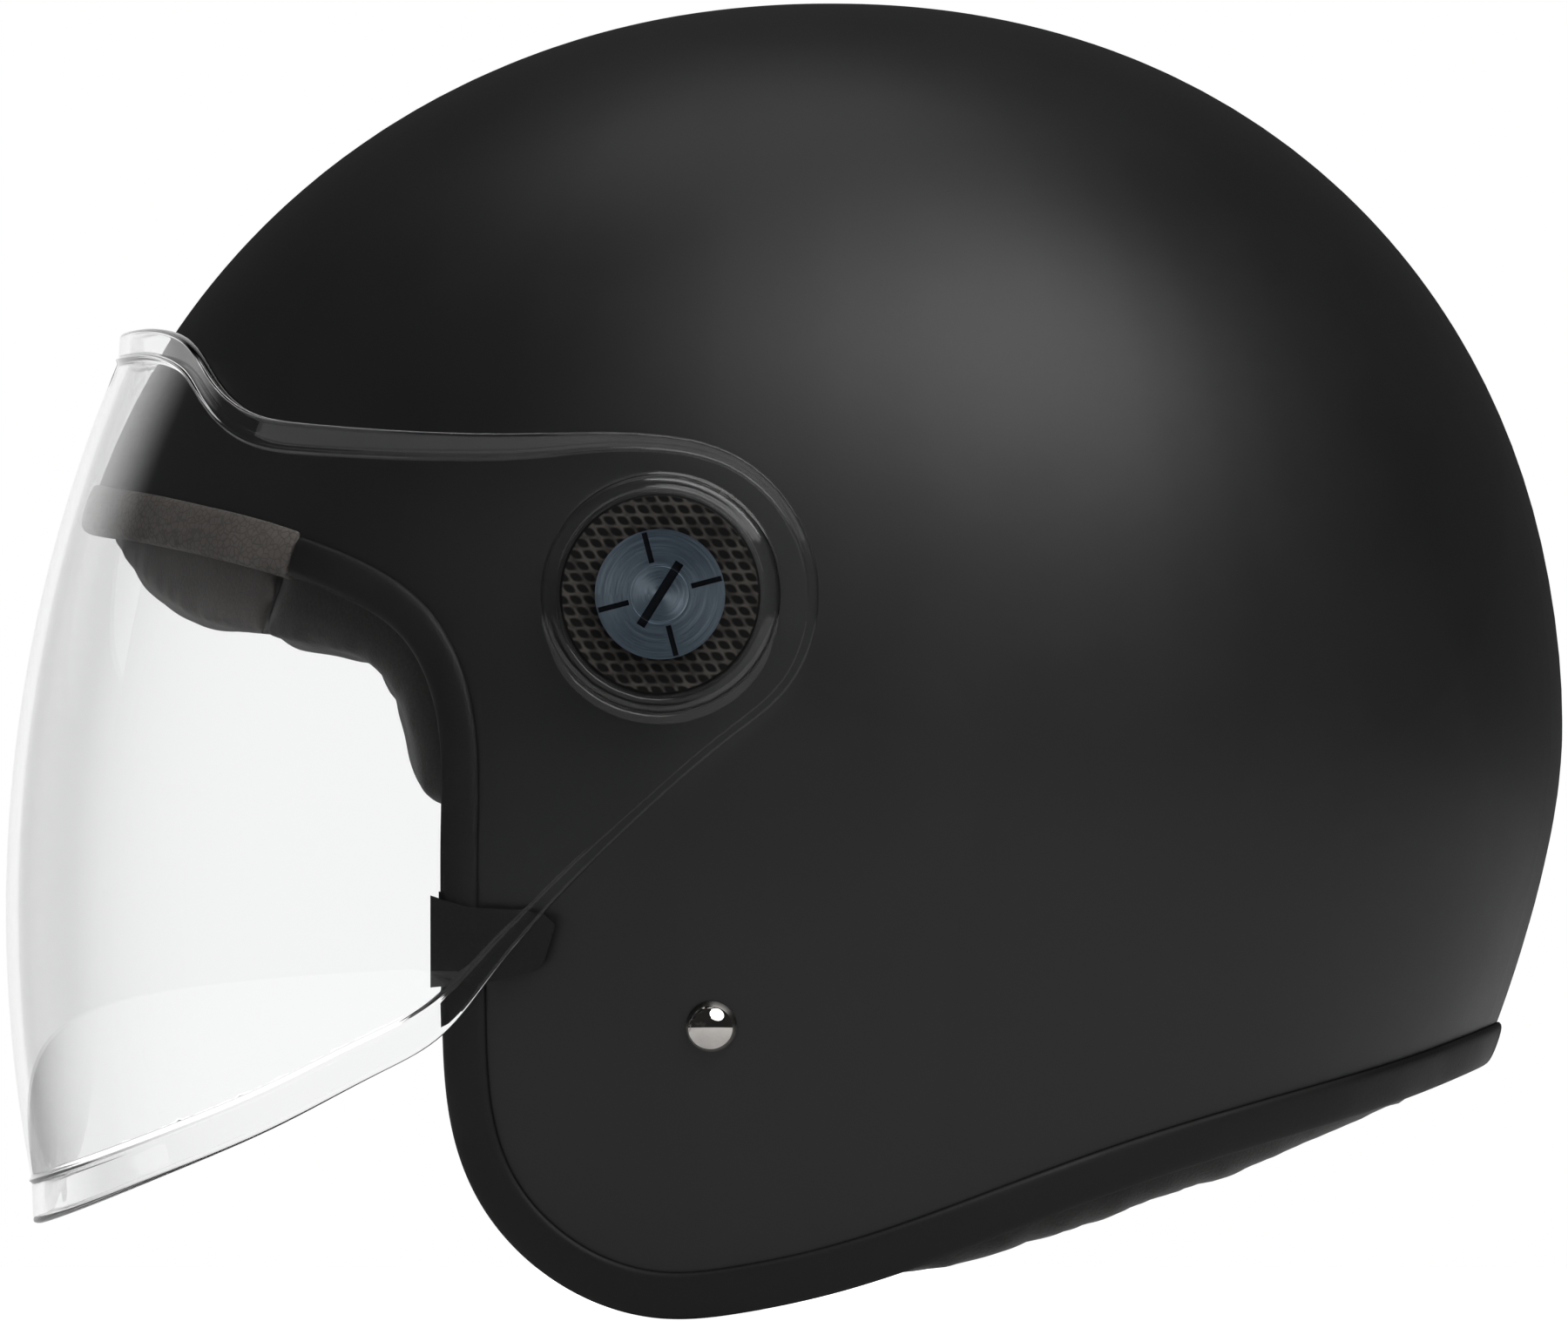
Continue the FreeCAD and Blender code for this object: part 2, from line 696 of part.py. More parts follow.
def build_visor():
    """The clear visor: a thin curved sheet with a raised rim and a round dish at each ear."""
    wall, proud = size("visor_wall"), size("visor_rim_proud")
    outline = visor_outline(0.0)
    sheet_shape = visor_solid(-proud).cut(visor_solid(wall)).common(outline)
    panel = visor_solid(-proud - 1.0).cut(visor_solid(0.0)).common(visor_outline(size("visor_rim_width")))
    visor = sheet_shape.cut(panel)
    radius = size("dish_radius")
    back, deep = size("dish_back"), size("dish_depth")
    for side in SIDES.values():
        across = Vector(side, 0, 0)
        centre = Vector(0, size("pivot_y"), size("pivot_height"))

        def disc(start, end, disc_radius):
            return Part.makeCylinder(disc_radius, end - start, centre + across * start, across)

        dish = disc(back, back + deep, radius)
        dish = dish.cut(disc(back + size("dish_floor"), back + deep + 1.0, radius - size("dish_wall")))
        dish = dish.cut(disc(back - 1.0, back + deep, size("dish_bore_radius")))
        visor = visor.cut(disc(back - 10.0, back + deep + 10.0, radius - 0.2)).fuse(dish)
    keep_shape("visor", visor.removeSplitter())


# ---------------------------------------------------------------- visor hinge


PLATE_SCREW_ANGLES = [105, 180, 255]  # round the pivot from the nape, where the plate is thickest


def build_hinge(side_name):
    """Everything on the hinge's axis on one side, from the impact liner outwards."""
    side = SIDES[side_name]
    y, height = size("pivot_y"), size("pivot_height")
    across = Vector(side, 0, 0)
    centre = Vector(0, y, height)

    def disc(start, end, radius):
        return Part.makeCylinder(radius, end - start, centre + across * start, across)

    bore = size("screw_radius") + size("screw_play")
    insert = disc(size("insert_back"), ACROSS / 2, size("insert_flange_radius"))
    insert = insert.common(form(size("shell_wall") + size("trim_play")))
    barrel = disc(size("insert_back"), size("base_plate_face") - 1.6, size("insert_barrel_radius"))
    insert = insert.fuse(barrel).cut(disc(size("insert_back") - 1, ACROSS / 2, bore))
    keep_shape(f"threaded_insert_{side_name}", insert.removeSplitter())

    plate = disc(size("insert_back"), size("base_plate_face"), size("base_plate_radius"))
    plate = plate.cut(form(-size("trim_play")))
    plate = plate.fuse(disc(size("base_plate_face") - 1.0, size("hub_face"), size("hub_radius")))
    plate = plate.cut(disc(size("insert_back"), size("hub_face") + 1.0, bore))
    plate = plate.cut(disc(size("insert_back"), size("base_plate_face") - 1.5, size("insert_barrel_radius") + 0.1))
    screws = []
    for angle in PLATE_SCREW_ANGLES:
        turn = math.radians(angle)
        off = Vector(0, math.cos(turn), math.sin(turn)) * size("plate_screw_circle")
        start = centre + off + across * (size("base_plate_face") - 0.1)
        plate = plate.cut(Part.makeCylinder(size("plate_screw_radius") + 1.4, 0.9, start - across * 0.9, across))
        plate = plate.cut(Part.makeCylinder(size("plate_screw_radius") + 0.1, 20.0, start - across * 20.0, across))
        head = Part.makeCylinder(size("plate_screw_radius") + 1.2, 0.7, start - across * 0.8, across)
        depth = form_half_width_at(y + off.y, height + off.z, -size("trim_play"))
        shank = Part.makeCylinder(
            size("plate_screw_radius"),
            size("base_plate_face") - 1.1 - depth,
            centre + off + across * (depth + 0.6),
            across,
        )
        screws.append(head.fuse(shank).removeSplitter())
    keep_shape(f"visor_base_{side_name}", plate.removeSplitter())
    keep_shape(f"base_plate_screws_{side_name}", Part.makeCompound(screws))

    washer = disc(
        size("spring_washer_face"),
        size("spring_washer_face") + size("spring_washer_gauge"),
        size("spring_washer_radius"),
    )
    washer = washer.cut(disc(0.0, ACROSS / 2, size("hub_radius") + 0.2))
    keep_shape(f"spring_washer_{side_name}", washer)


def build_pivot_cover(side_name):
    """A round dished cover: a padded disc, bored for the screw, with its middle sunk."""
    body = doc.addObject("PartDesign::Body", f"pivot_cover_{side_name}")
    outline = flat_sketch(body, f"cover_outline_{side_name}")
    add_circle(outline, "Dimensions.cover_radius")
    pad(body, outline, "Dimensions.cover_gauge")
    bore = flat_sketch(body, f"cover_bore_{side_name}", "cover_gauge")
    add_circle(bore, "Dimensions.screw_radius + Dimensions.screw_play + 0.1")
    doc.recompute()
    pocket(body, bore, "Dimensions.cover_gauge + 1")
    doc.recompute()
    disc_so_far = body.Tip
    round_edges = [
        f"Edge{i + 1}"
        for i, edge in enumerate(disc_so_far.Shape.Edges)
        if edge.BoundBox.XLength > 2 * size("cover_radius") - 0.1
        and edge.BoundBox.ZMin > size("cover_gauge") - 0.1
    ]
    rim = body.newObject("PartDesign::Chamfer", f"cover_rim_{side_name}")
    rim.Base = (disc_so_far, round_edges)
    rim.Size = 0.5
    body.Placement = outward_placement(
        SIDES[side_name], size("cover_back"), size("pivot_y"), size("pivot_height")
    )
    keep(body, f"pivot_cover_{side_name}")


SLOT_LEAN = 58.0  # the coin slot leans this far up from level, in degrees
GROOVE_LEAN = 14.6  # the first of the four grooves


def build_coin_screw(side_name):
    """The visor screw: a wide head with a coin slot and four short grooves, on a plain shank."""
    body = doc.addObject("PartDesign::Body", f"coin_screw_{side_name}")
    head = flat_sketch(body, f"head_{side_name}")
    add_circle(head, "Dimensions.screw_head_radius")
    pad(body, head, "Dimensions.screw_head_height")
    shank = flat_sketch(body, f"shank_{side_name}")
    add_circle(shank, "Dimensions.screw_radius")
    shank_pad = pad(body, shank, "Dimensions.screw_reach")
    shank_pad.Reversed = True
    slot = flat_sketch(body, f"slot_{side_name}", "screw_head_height")
    half_length = "Dimensions.screw_slot_length / 2"
    add_box(
        slot,
        f"-({half_length})",
        half_length,
        "-Dimensions.screw_slot_width / 2",
        "Dimensions.screw_slot_width / 2",
    )
    doc.recompute()
    pocket(body, slot, "Dimensions.screw_slot_depth")
    groove = flat_sketch(body, f"groove_{side_name}")
    between = FreeCAD.Rotation(Vector(0, 0, 1), GROOVE_LEAN - SLOT_LEAN)
    groove.AttachmentOffset = FreeCAD.Placement(Vector(0, 0, 0), between)
    groove.setExpression("AttachmentOffset.Base.z", "Dimensions.screw_head_height")
    add_box(
        groove,
        "Dimensions.screw_head_radius - Dimensions.screw_groove_length",
        "Dimensions.screw_head_radius + 1",
        "-Dimensions.screw_groove_width / 2",
        "Dimensions.screw_groove_width / 2",
    )
    doc.recompute()
    first = pocket(body, groove, "Dimensions.screw_groove_depth")
    doc.recompute()
    around = body.newObject("PartDesign::PolarPattern", f"grooves_{side_name}")
    around.Originals = [first]
    around.Axis = (plane_of(body, "Z_Axis"), [""])
    around.Occurrences = 4
    body.Tip = around
    place = outward_placement(
        SIDES[side_name], size("screw_head_back"), size("pivot_y"), size("pivot_height")
    )
    place.Rotation = place.Rotation.multiply(FreeCAD.Rotation(Vector(0, 0, 1), SLOT_LEAN))
    body.Placement = place
    keep(body, f"coin_screw_{side_name}")


# ---------------------------------------------------------------- chin strap

# The strap's middle line in front view, as (x, z), from the rivet down and under the chin.
STRAP_DROP = [(105.2, 67.5), (105.2, 58), (105, 47), (102.8, 29), (98.6, 15.5), (90.5, 8.4), (80, 6.2), (69.4, 5.2)]
STRAP_REST = [(105.2, 67.5), (105.2, 58), (105, 47), (102.8, 29), (98.6, 15.5), (90.5, 8.4), (78, 6.4), (50, 6.6), (19, 7.3)]
BAR_X = 61.4  # the bar that the left webbing turns round


def strap_band(line, side):
    """Webbing along a line: the line thickened both ways, then as wide as the strap."""
    half = size("strap_gauge") / 2
    points = [(side * x, z) for x, z in line]
    edges = []
    for distance in (-half, half):
        moved = offset_points(points, distance)
        curve = Part.BSplineCurve()
        curve.interpolate([Vector(x, 0, z) for x, z in moved])
        edges.append(curve.toShape())
    ends = [
        Part.makeLine(edges[0].Vertexes[i].Point, edges[1].Vertexes[i].Point) for i in (0, -1)
    ]
    face = Part.Face(Part.Wire(Part.__sortEdges__(edges + ends)))
    return across_strap(face, size("strap_width"))


def across_strap(face, width):
    """A face in the front-view plane, extruded to a width that straddles the rivets."""
    slab = face.extrude(Vector(0, width, 0))
    slab.translate(Vector(0, size("rivet_y") - width / 2, 0))
    return slab


def strap_box(x_low, x_high, width, z_low, z_high):
    """A block centred on the strap."""
    return Part.makeBox(
        x_high - x_low, width, z_high - z_low, Vector(x_low, size("rivet_y") - width / 2, z_low)
    )


def strap_rod(x, z, radius, width):
    """A round bar across the strap."""
    start = Vector(x, size("rivet_y") - width / 2, z)
    return Part.makeCylinder(radius, width, start, Vector(0, 1, 0))


def build_rivets():
    """Domed rivets through the shell, each with an inner washer; the strap end swings between."""
    seat, tail = size("rivet_seat"), size("rivet_tail")
    dome_radius, dome_height = size("rivet_head_radius"), size("rivet_head_height")
    ball = (dome_radius**2 + dome_height**2) / (2 * dome_height)
    dome = Part.makeSphere(ball, at_rivet(seat + dome_height - ball))
    head = dome.common(tube(at_rivet(seat), at_rivet(seat + 10.0), dome_radius))
    skirt = tube(at_rivet(seat - 1.5), at_rivet(seat), dome_radius - 0.2)
    skirt = skirt.cut(form(-size("trim_play")))
    shank = tube(at_rivet(tail), at_rivet(seat + 0.5), size("rivet_shank_radius"))
    peened = tube(at_rivet(tail - 1.0), at_rivet(tail), size("rivet_shank_radius") + 0.8)
    rivet = head.fuse([skirt, shank, peened]).removeSplitter()
    keep_pair("strap_rivet", rivet)
    washer = tube(at_rivet(tail + 0.02), at_rivet(tail + 1.0), 6.0, size("rivet_shank_radius") + 0.05)
    keep_pair("rivet_washer", washer)


def build_webbing():
    """Two lengths of webbing. The left one ends round the buckle's bar, the right one round the
    tongue's. Both are punched for their rivets and backed by a steel plate."""
    hole = tube(at_rivet(-ACROSS / 2), at_rivet(ACROSS / 2), size("rivet_shank_radius") + 0.3)
    left = strap_band(STRAP_DROP, 1)
    bar_height = size("lever_pin_height") + 0.3
    loop = strap_rod(BAR_X + 4.0, bar_height, 0.1, 1.0)
    ring = strap_rod(BAR_X, bar_height, 3.3, size("strap_width")).cut(
        strap_rod(BAR_X, bar_height, 1.8, size("strap_width"))
    )
    bridge = strap_box(BAR_X + 3.0, 70.0, size("strap_width"), bar_height - 0.9, bar_height + 0.7)
    left = left.fuse([ring, bridge]).cut(hole)
    keep_shape("strap_webbing_left", left.removeSplitter())
    right = strap_band(STRAP_REST, -1)
    fold = strap_box(-21.5, -9.6, 15.4, 4.3, 9.7).cut(strap_box(-18.4, -10.9, 20.0, 5.4, 8.6))
    right = right.fuse(fold).cut(strap_box(-18.4, -10.9, 30.0, 5.4, 8.6)).cut(hole)
    keep_shape("strap_webbing_right", right.removeSplitter())
    plate_shape = Part.makeBox(
        size("anchor_plate_gauge"), 24.0, 15.0,
        Vector(size("anchor_plate_back"), size("rivet_y") - 12.0, size("rivet_height") - 7.5),
    )  # fmt: skip
    keep_pair("anchor_plate", plate_shape.cut(hole))


def build_chin_pad():
    """A padded sleeve round the right webbing."""
    outer = strap_box(-84.0, -26.0, 30.0, 3.2, 10.0)
    outer = outer.makeFillet(2.0, outer.Edges)
    tunnel = strap_band([(x, z) for x, z in STRAP_REST], -1)
    clearance = strap_box(-90.0, -20.0, size("strap_width") + 0.4, 5.4, 8.3)
    sleeve = outer.cut(clearance).cut(tunnel)
    keep_shape("chin_pad", sleeve)


def build_buckle():
    """The ratchet buckle: housing, sprung lever with its pull tab, pin, spring and tongue."""
    wall, width = size("buckle_wall"), size("buckle_width")
    start, end = size("buckle_start"), size("buckle_end")
    top, low = size("buckle_top"), size("buckle_underside")
    pin_x, pin_z = size("lever_pin_x"), size("lever_pin_height")
    pin_radius = size("lever_pin_radius")
    bar_height = pin_z + 0.3

    housing = strap_box(start, end, width, low, top)
    housing = housing.cut(strap_box(start - 1, end + 1, width - 2 * wall, low - 1, top - wall))
    housing = housing.cut(strap_rod(pin_x, pin_z, pin_radius + 0.05, width + 2))
    housing = housing.fuse(strap_rod(BAR_X, bar_height, 1.5, width))
    keep_shape("buckle_housing", housing.removeSplitter())

    pin = strap_rod(pin_x, pin_z, pin_radius, width + 0.8)
    keep_shape("lever_pin", pin)

    lever_width = size("lever_width")
    lever = strap_box(8.0, pin_x, lever_width, low - 0.4, low + 1.2)
    lever = lever.fuse(strap_rod(pin_x, pin_z, pin_radius + 1.3, lever_width))
    lever = lever.fuse(strap_box(30.0, 33.0, size("tongue_width"), low + 1.0, low + 2.4))
    lever = lever.cut(strap_rod(pin_x, pin_z, pin_radius + 0.08, width + 2))
    lever = lever.cut(strap_box(pin_x - 4.2, pin_x + 4.2, 8.0, low - 2, top))
    keep_shape("buckle_lever", lever.removeSplitter())
    tab = strap_box(-6.0, 10.5, 14.0, low - 0.35, low + 1.15)
    tab = tab.cut(strap_box(7.0, 12.0, 20.0, low - 0.45, low + 1.25))
    keep_shape("pull_tab", tab)

    turns, wire = 4, 0.35
    helix = Part.makeHelix(1.4, 1.4 * turns, pin_radius + 0.75)
    helix.rotate(Vector(0, 0, 0), Vector(1, 0, 0), -90)
    helix.translate(Vector(pin_x, size("rivet_y") - 0.7 * turns, pin_z))
    first = helix.Vertexes[0].Point
    section = Part.Wire(Part.makeCircle(wire, first, Vector(0, 0, 1)))
    spring = Part.Wire(helix.Edges).makePipeShell([section], True, True)
    keep_shape("lever_spring", spring)

    tongue_width = size("tongue_width")
    tongue = strap_box(-8.0, 44.0, tongue_width, 6.5, 8.3)
    tongue = tongue.fuse(strap_box(-18.0, -6.0, 22.0, 6.1, 7.9))
    tongue = tongue.cut(strap_box(-11.0, -8.6, 16.4, 0.0, 20.0))
    pitch, tall = size("tooth_pitch"), size("tooth_height")
    underside = [Vector(8.0, 0, 6.6)]
    for i in range(13):
        x = 8.0 + pitch * i
        underside += [Vector(x, 0, 6.5 - tall), Vector(x + pitch, 0, 6.5)]
    underside += [Vector(8.0 + pitch * 13, 0, 6.6), Vector(8.0, 0, 6.6)]
    teeth = across_strap(Part.Face(Part.makePolygon(underside)), tongue_width - 4.0)
    keep_shape("ratchet_tongue", tongue.fuse(teeth).removeSplitter())


# ---------------------------------------------------------------- build, check and write


def build():
    build_shell()
    build_liners()
    build_trims()
    build_trim_clips()
    build_linings()
    build_cheeks()
    build_neck_roll()
    build_visor()
    for side_name in SIDES:
        build_hinge(side_name)
        build_pivot_cover(side_name)
        build_coin_screw(side_name)
    build_rivets()
    build_webbing()
    build_chin_pad()
    build_buckle()
    doc.recompute()


def check_and_write():
    for feature in doc.Objects:
        if {"Invalid", "Error"} & set(feature.State):
            raise RuntimeError(f"{feature.Label} failed: {feature.State}")
    os.makedirs("parts", exist_ok=True)
    for feature in made:
        shape = feature.Shape
        if shape.isNull() or not shape.isValid() or not shape.Solids:
            raise RuntimeError(f"{feature.Label} is not a valid solid")
        if any(solid.Volume <= 0 for solid in shape.Solids):
            raise RuntimeError(f"{feature.Label} has a solid with no volume")
        shape.exportStep(f"parts/{feature.Label}.step")
        print(f"{feature.Label}: {len(shape.Solids)} solid(s), {shape.Volume:.0f} mm3")


build()
check_and_write()
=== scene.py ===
"""The look of an open-face helmet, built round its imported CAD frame: +Z up, the helmet faces -Y and
its left side is +X. Forms are worked out in mm, and MM turns them into metres."""

import json
import math

import bmesh
import bpy
import numpy as np
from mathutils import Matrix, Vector
from mathutils.geometry import delaunay_2d_cdt
from mathutils.kdtree import KDTree


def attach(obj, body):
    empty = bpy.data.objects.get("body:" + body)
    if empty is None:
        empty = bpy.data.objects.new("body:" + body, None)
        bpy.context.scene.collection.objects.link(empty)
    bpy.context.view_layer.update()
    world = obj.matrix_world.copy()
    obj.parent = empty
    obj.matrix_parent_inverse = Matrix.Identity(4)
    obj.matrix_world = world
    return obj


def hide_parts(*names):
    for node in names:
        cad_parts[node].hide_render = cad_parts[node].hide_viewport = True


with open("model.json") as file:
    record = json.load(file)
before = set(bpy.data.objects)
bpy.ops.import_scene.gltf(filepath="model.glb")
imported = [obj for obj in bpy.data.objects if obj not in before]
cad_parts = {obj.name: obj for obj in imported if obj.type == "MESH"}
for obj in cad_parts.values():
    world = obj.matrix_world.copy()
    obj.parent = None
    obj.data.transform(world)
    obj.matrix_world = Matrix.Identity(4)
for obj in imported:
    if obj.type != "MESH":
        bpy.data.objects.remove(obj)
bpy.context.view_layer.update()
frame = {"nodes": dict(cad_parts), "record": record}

NODES = frame["nodes"]
scene = bpy.context.scene
MM = 0.001

# ------------------------------------------------------------------ lines and arrays of points


def bisected(low, high, goes_up, steps):
    """The place between low and high up to which goes_up holds, for whole arrays at once."""
    for _ in range(steps):
        middle = (low + high) / 2
        up = goes_up(middle)
        low, high = np.where(up, middle, low), np.where(up, high, middle)
    return low


def unit(vectors):
    return vectors / np.linalg.norm(vectors, axis=1, keepdims=True)


def tangents(line, closed):
    step = np.roll(line, -1, axis=0) - np.roll(line, 1, axis=0) if closed else np.gradient(line, axis=0)
    return unit(step)


def lengths_along(points):
    """The distance along a line from its start to each of its points."""
    return np.concatenate([[0], np.cumsum(np.linalg.norm(np.diff(points, axis=0), axis=1))])


def read_at(at, places, table):
    """The columns of a table, read between its rows, which stand at the places."""
    return np.stack([np.interp(at, places, column) for column in np.transpose(table)], axis=1)


def resample(points, count):
    """The same line with evenly spaced points."""
    run = lengths_along(points)
    return read_at(np.linspace(0, run[-1], count), run, points)


def smooth_line(points, count):
    """A natural cubic spline through points, sampled evenly in its chord length."""
    points = np.asarray(points, float)
    t = lengths_along(points)
    n = len(t)
    h = np.diff(t)
    matrix, right = np.eye(n), np.zeros_like(points)
    for i in range(1, n - 1):
        matrix[i, i - 1 : i + 2] = h[i - 1], 2 * (h[i - 1] + h[i]), h[i]
        right[i] = 6 * ((points[i + 1] - points[i]) / h[i] - (points[i] - points[i - 1]) / h[i - 1])
    bend = np.linalg.solve(matrix, right)
    at = np.linspace(0, t[-1], count)
    i = np.clip(np.searchsorted(t, at) - 1, 0, n - 2)
    a, b = ((t[i + 1] - at) / h[i])[:, None], ((at - t[i]) / h[i])[:, None]
    hh = (h[i] ** 2)[:, None] / 6
    return a * points[i] + b * points[i + 1] + hh * ((a**3 - a) * bend[i] + (b**3 - b) * bend[i + 1])


def smooth_step(value, low, high):
    share = np.clip((value - low) / (high - low), 0, 1)
    return share * share * (3 - 2 * share)


def ring_faces(first, second, size):
    """Faces between two closed rings of points, given the number of each ring's first point."""
    return [(first + i, first + (i + 1) % size, second + (i + 1) % size, second + i) for i in range(size)]


def tube_faces(count, sides, closed=False):
    """Faces of a tube made of rings of points, with a flat face on each end unless it is closed."""
    faces = []
    for i in range(count if closed else count - 1):
        faces += ring_faces(i * sides, (i + 1) % count * sides, sides)
    if not closed:
        faces += [tuple(range(sides)), tuple(range((count - 1) * sides, count * sides))[::-1]]
    return faces


# ------------------------------------------------------------------ the free form of the helmet

CENTRE_Y, CENTRE_Z, TOP_Z = 8.0, 108.0, 246.0
FRONT_REACH, BACK_REACH, HALF_WIDTH, SKIRT = 145.0, 138.0, 120.0, 14.0
PLAN_POWER, SIDE_POWER, BROW_POWER, NAPE_POWER, TAPER_POWER = 2.2, 2.4, 2.05, 2.14, 1.6
SIDE_TAPER, BROW_TAPER, NAPE_TAPER = 0.15, 0.20, 0.335
OUTERMOST, INNERMOST = -40.0, 90.0


def form_radius(turn, z, inset):
    """Distance from the upright axis to the form, in mm, for arrays of turn, height and inset."""
    side, back = np.sin(turn), np.cos(turn)
    reach = np.where(back > 0, BACK_REACH, FRONT_REACH) - inset
    ring = (np.abs(back) / reach) ** PLAN_POWER + (np.abs(side) / (HALF_WIDTH - inset)) ** PLAN_POWER
    ring = ring ** (-1 / PLAN_POWER)
    end_power = np.where(back > 0, NAPE_POWER, BROW_POWER)
    power = end_power * back**2 + SIDE_POWER * side**2
    rise = np.clip((z - CENTRE_Z) / (TOP_Z - inset - CENTRE_Z), 0, 1)
    upper = ring * (1 - rise**power) ** (1 / power)
    level = np.clip((CENTRE_Z - z) / (CENTRE_Z + SKIRT + inset), 0, 1.1)
    end_taper = np.where(back > 0, NAPE_TAPER, BROW_TAPER)
    lower = ring * (1 - (SIDE_TAPER * side**2 + end_taper * back**2) * level**TAPER_POWER)
    return np.where(z >= CENTRE_Z, upper, lower)


def on_ring(turn, z, inset):
    """Points of the form at an inset, for arrays of turn and height."""
    radius = form_radius(np.where(turn > math.pi, 2 * math.pi - turn, turn), z, inset)
    return np.stack([radius * np.sin(turn), CENTRE_Y + radius * np.cos(turn), z], axis=1)


def depth_of(points):
    """How far inside the form each point lies, as an inset in mm; negative is outside."""
    x, y, z = points.T
    y = y - CENTRE_Y
    radius, turn = np.hypot(x, y), np.arctan2(np.abs(x), y)
    low, high = np.full(len(x), OUTERMOST), np.full(len(x), INNERMOST)
    return bisected(low, high, lambda inset: form_radius(turn, z, inset) > radius, 36)


def outward_of(points):
    """Unit normals of the form through each point."""
    step = 0.05
    grad = [depth_of(points + step * axis) - depth_of(points - step * axis) for axis in np.eye(3)]
    return -unit(np.stack(grad, axis=1))


def onto_form(points, inset):
    """Points moved along the form's normal until they lie at an inset."""
    for _ in range(4):
        points = points + outward_of(points) * (depth_of(points) - inset)[:, None] * 0.95
    return points


def half_width(y, z, inset):
    """Half the form's width at side-view places; zero outside its outline."""

    def behind(turn):
        return CENTRE_Y + form_radius(turn, z, inset) * np.cos(turn) > y

    turn = bisected(np.zeros(len(y)), np.full(len(y), math.pi), behind, 50)
    return form_radius(turn, z, inset) * np.sin(turn)


# The rolled edge of the shell in side view, from over the brow round the cheek to the nape.
EDGE = [
    (-150, 149.5), (-125, 146.3), (-107.4, 142.6), (-93.1, 138.7), (-81, 133.9), (-71.7, 127.6),
    (-66.5, 119), (-64, 107), (-63.9, 92), (-63.9, 70), (-63.7, 52), (-62, 35.5), (-57.5, 23),
    (-47.8, 10.9), (-35.5, 3.2), (-22, 0.05), (-8.1, 1.15), (11.4, 5.4), (38, 14.6), (64.2, 24.4),
    (95.4, 34.2), (117.9, 41.4), (131.6, 46.9), (155, 56),
]  # fmt: skip
BROW_HIGH, BROW_LOW = np.array([-87.7, 152.5]), np.array([-99.3, 120.5])
TRIM_JOINT_Z = 70.5
PIVOT = np.array([-23.0, 135.0])
STRAP_Y = -13.5

# ------------------------------------------------------------------ nodes for materials and world


class Tree:
    """A small helper round a node tree. Lengths are in metres."""

    def __init__(self, tree):
        self.tree = tree

    def new(self, kind, **settings):
        node = self.tree.nodes.new(kind)
        for key, value in settings.items():
            setattr(node, key, value)
        return node

    def link(self, source, target):
        self.tree.links.new(source, target)

    def put(self, value, target):
        if isinstance(value, (int, float)):
            target.default_value = value
        elif isinstance(value, (tuple, list)):
            add_alpha = len(target.default_value) == 4 and len(value) == 3
            target.default_value = (*value, 1.0) if add_alpha else value
        else:
            self.link(value, target)

    def math(self, kind, a, b=0.0, c=None, clamp=False):
        node = self.new("ShaderNodeMath", operation=kind, use_clamp=clamp)
        for value, target in zip((a, b, c), node.inputs):
            if value is not None:
                self.put(value, target)
        return node.outputs[0]

    def times(self, first, *others):
        for other in others:
            first = self.math("MULTIPLY", first, other)
        return first

    def plus(self, a, b):
        return self.math("ADD", a, b)

    def minus(self, a, b):
        return self.math("SUBTRACT", a, b)

    def ripple(self, value, pitch):
        """Rounded ridges, one for each pitch of the value."""
        return self.math("ABSOLUTE", self.math("SINE", self.times(value, math.pi / pitch)))

    def ramp(self, source, low, high, to_low=0.0, to_high=1.0):
        node = self.new("ShaderNodeMapRange", interpolation_type="SMOOTHSTEP")
        self.put(source, node.inputs["Value"])
        for name, value in (("From Min", low), ("From Max", high), ("To Min", to_low), ("To Max", to_high)):
            node.inputs[name].default_value = value
        return node.outputs["Result"]

    def shades(self, *ramps):
        """The product of ramps up to 1, each given as (source, low, high, value at low)."""
        return self.times(*[self.ramp(*ramp) for ramp in ramps])

    def blend(self, factor, a, b):
        node = self.new("ShaderNodeMix", data_type="RGBA")
        self.put(factor, node.inputs["Factor"])
        self.put(a, node.inputs[6])
        self.put(b, node.inputs[7])
        return node.outputs[2]

    def split(self, source):
        node = self.new("ShaderNodeSeparateXYZ")
        self.link(source, node.inputs[0])
        return node.outputs

    def join(self, *values):
        node = self.new("ShaderNodeCombineXYZ")
        for value, target in zip(values, node.inputs):
            self.put(value, target)
        return node.outputs[0]


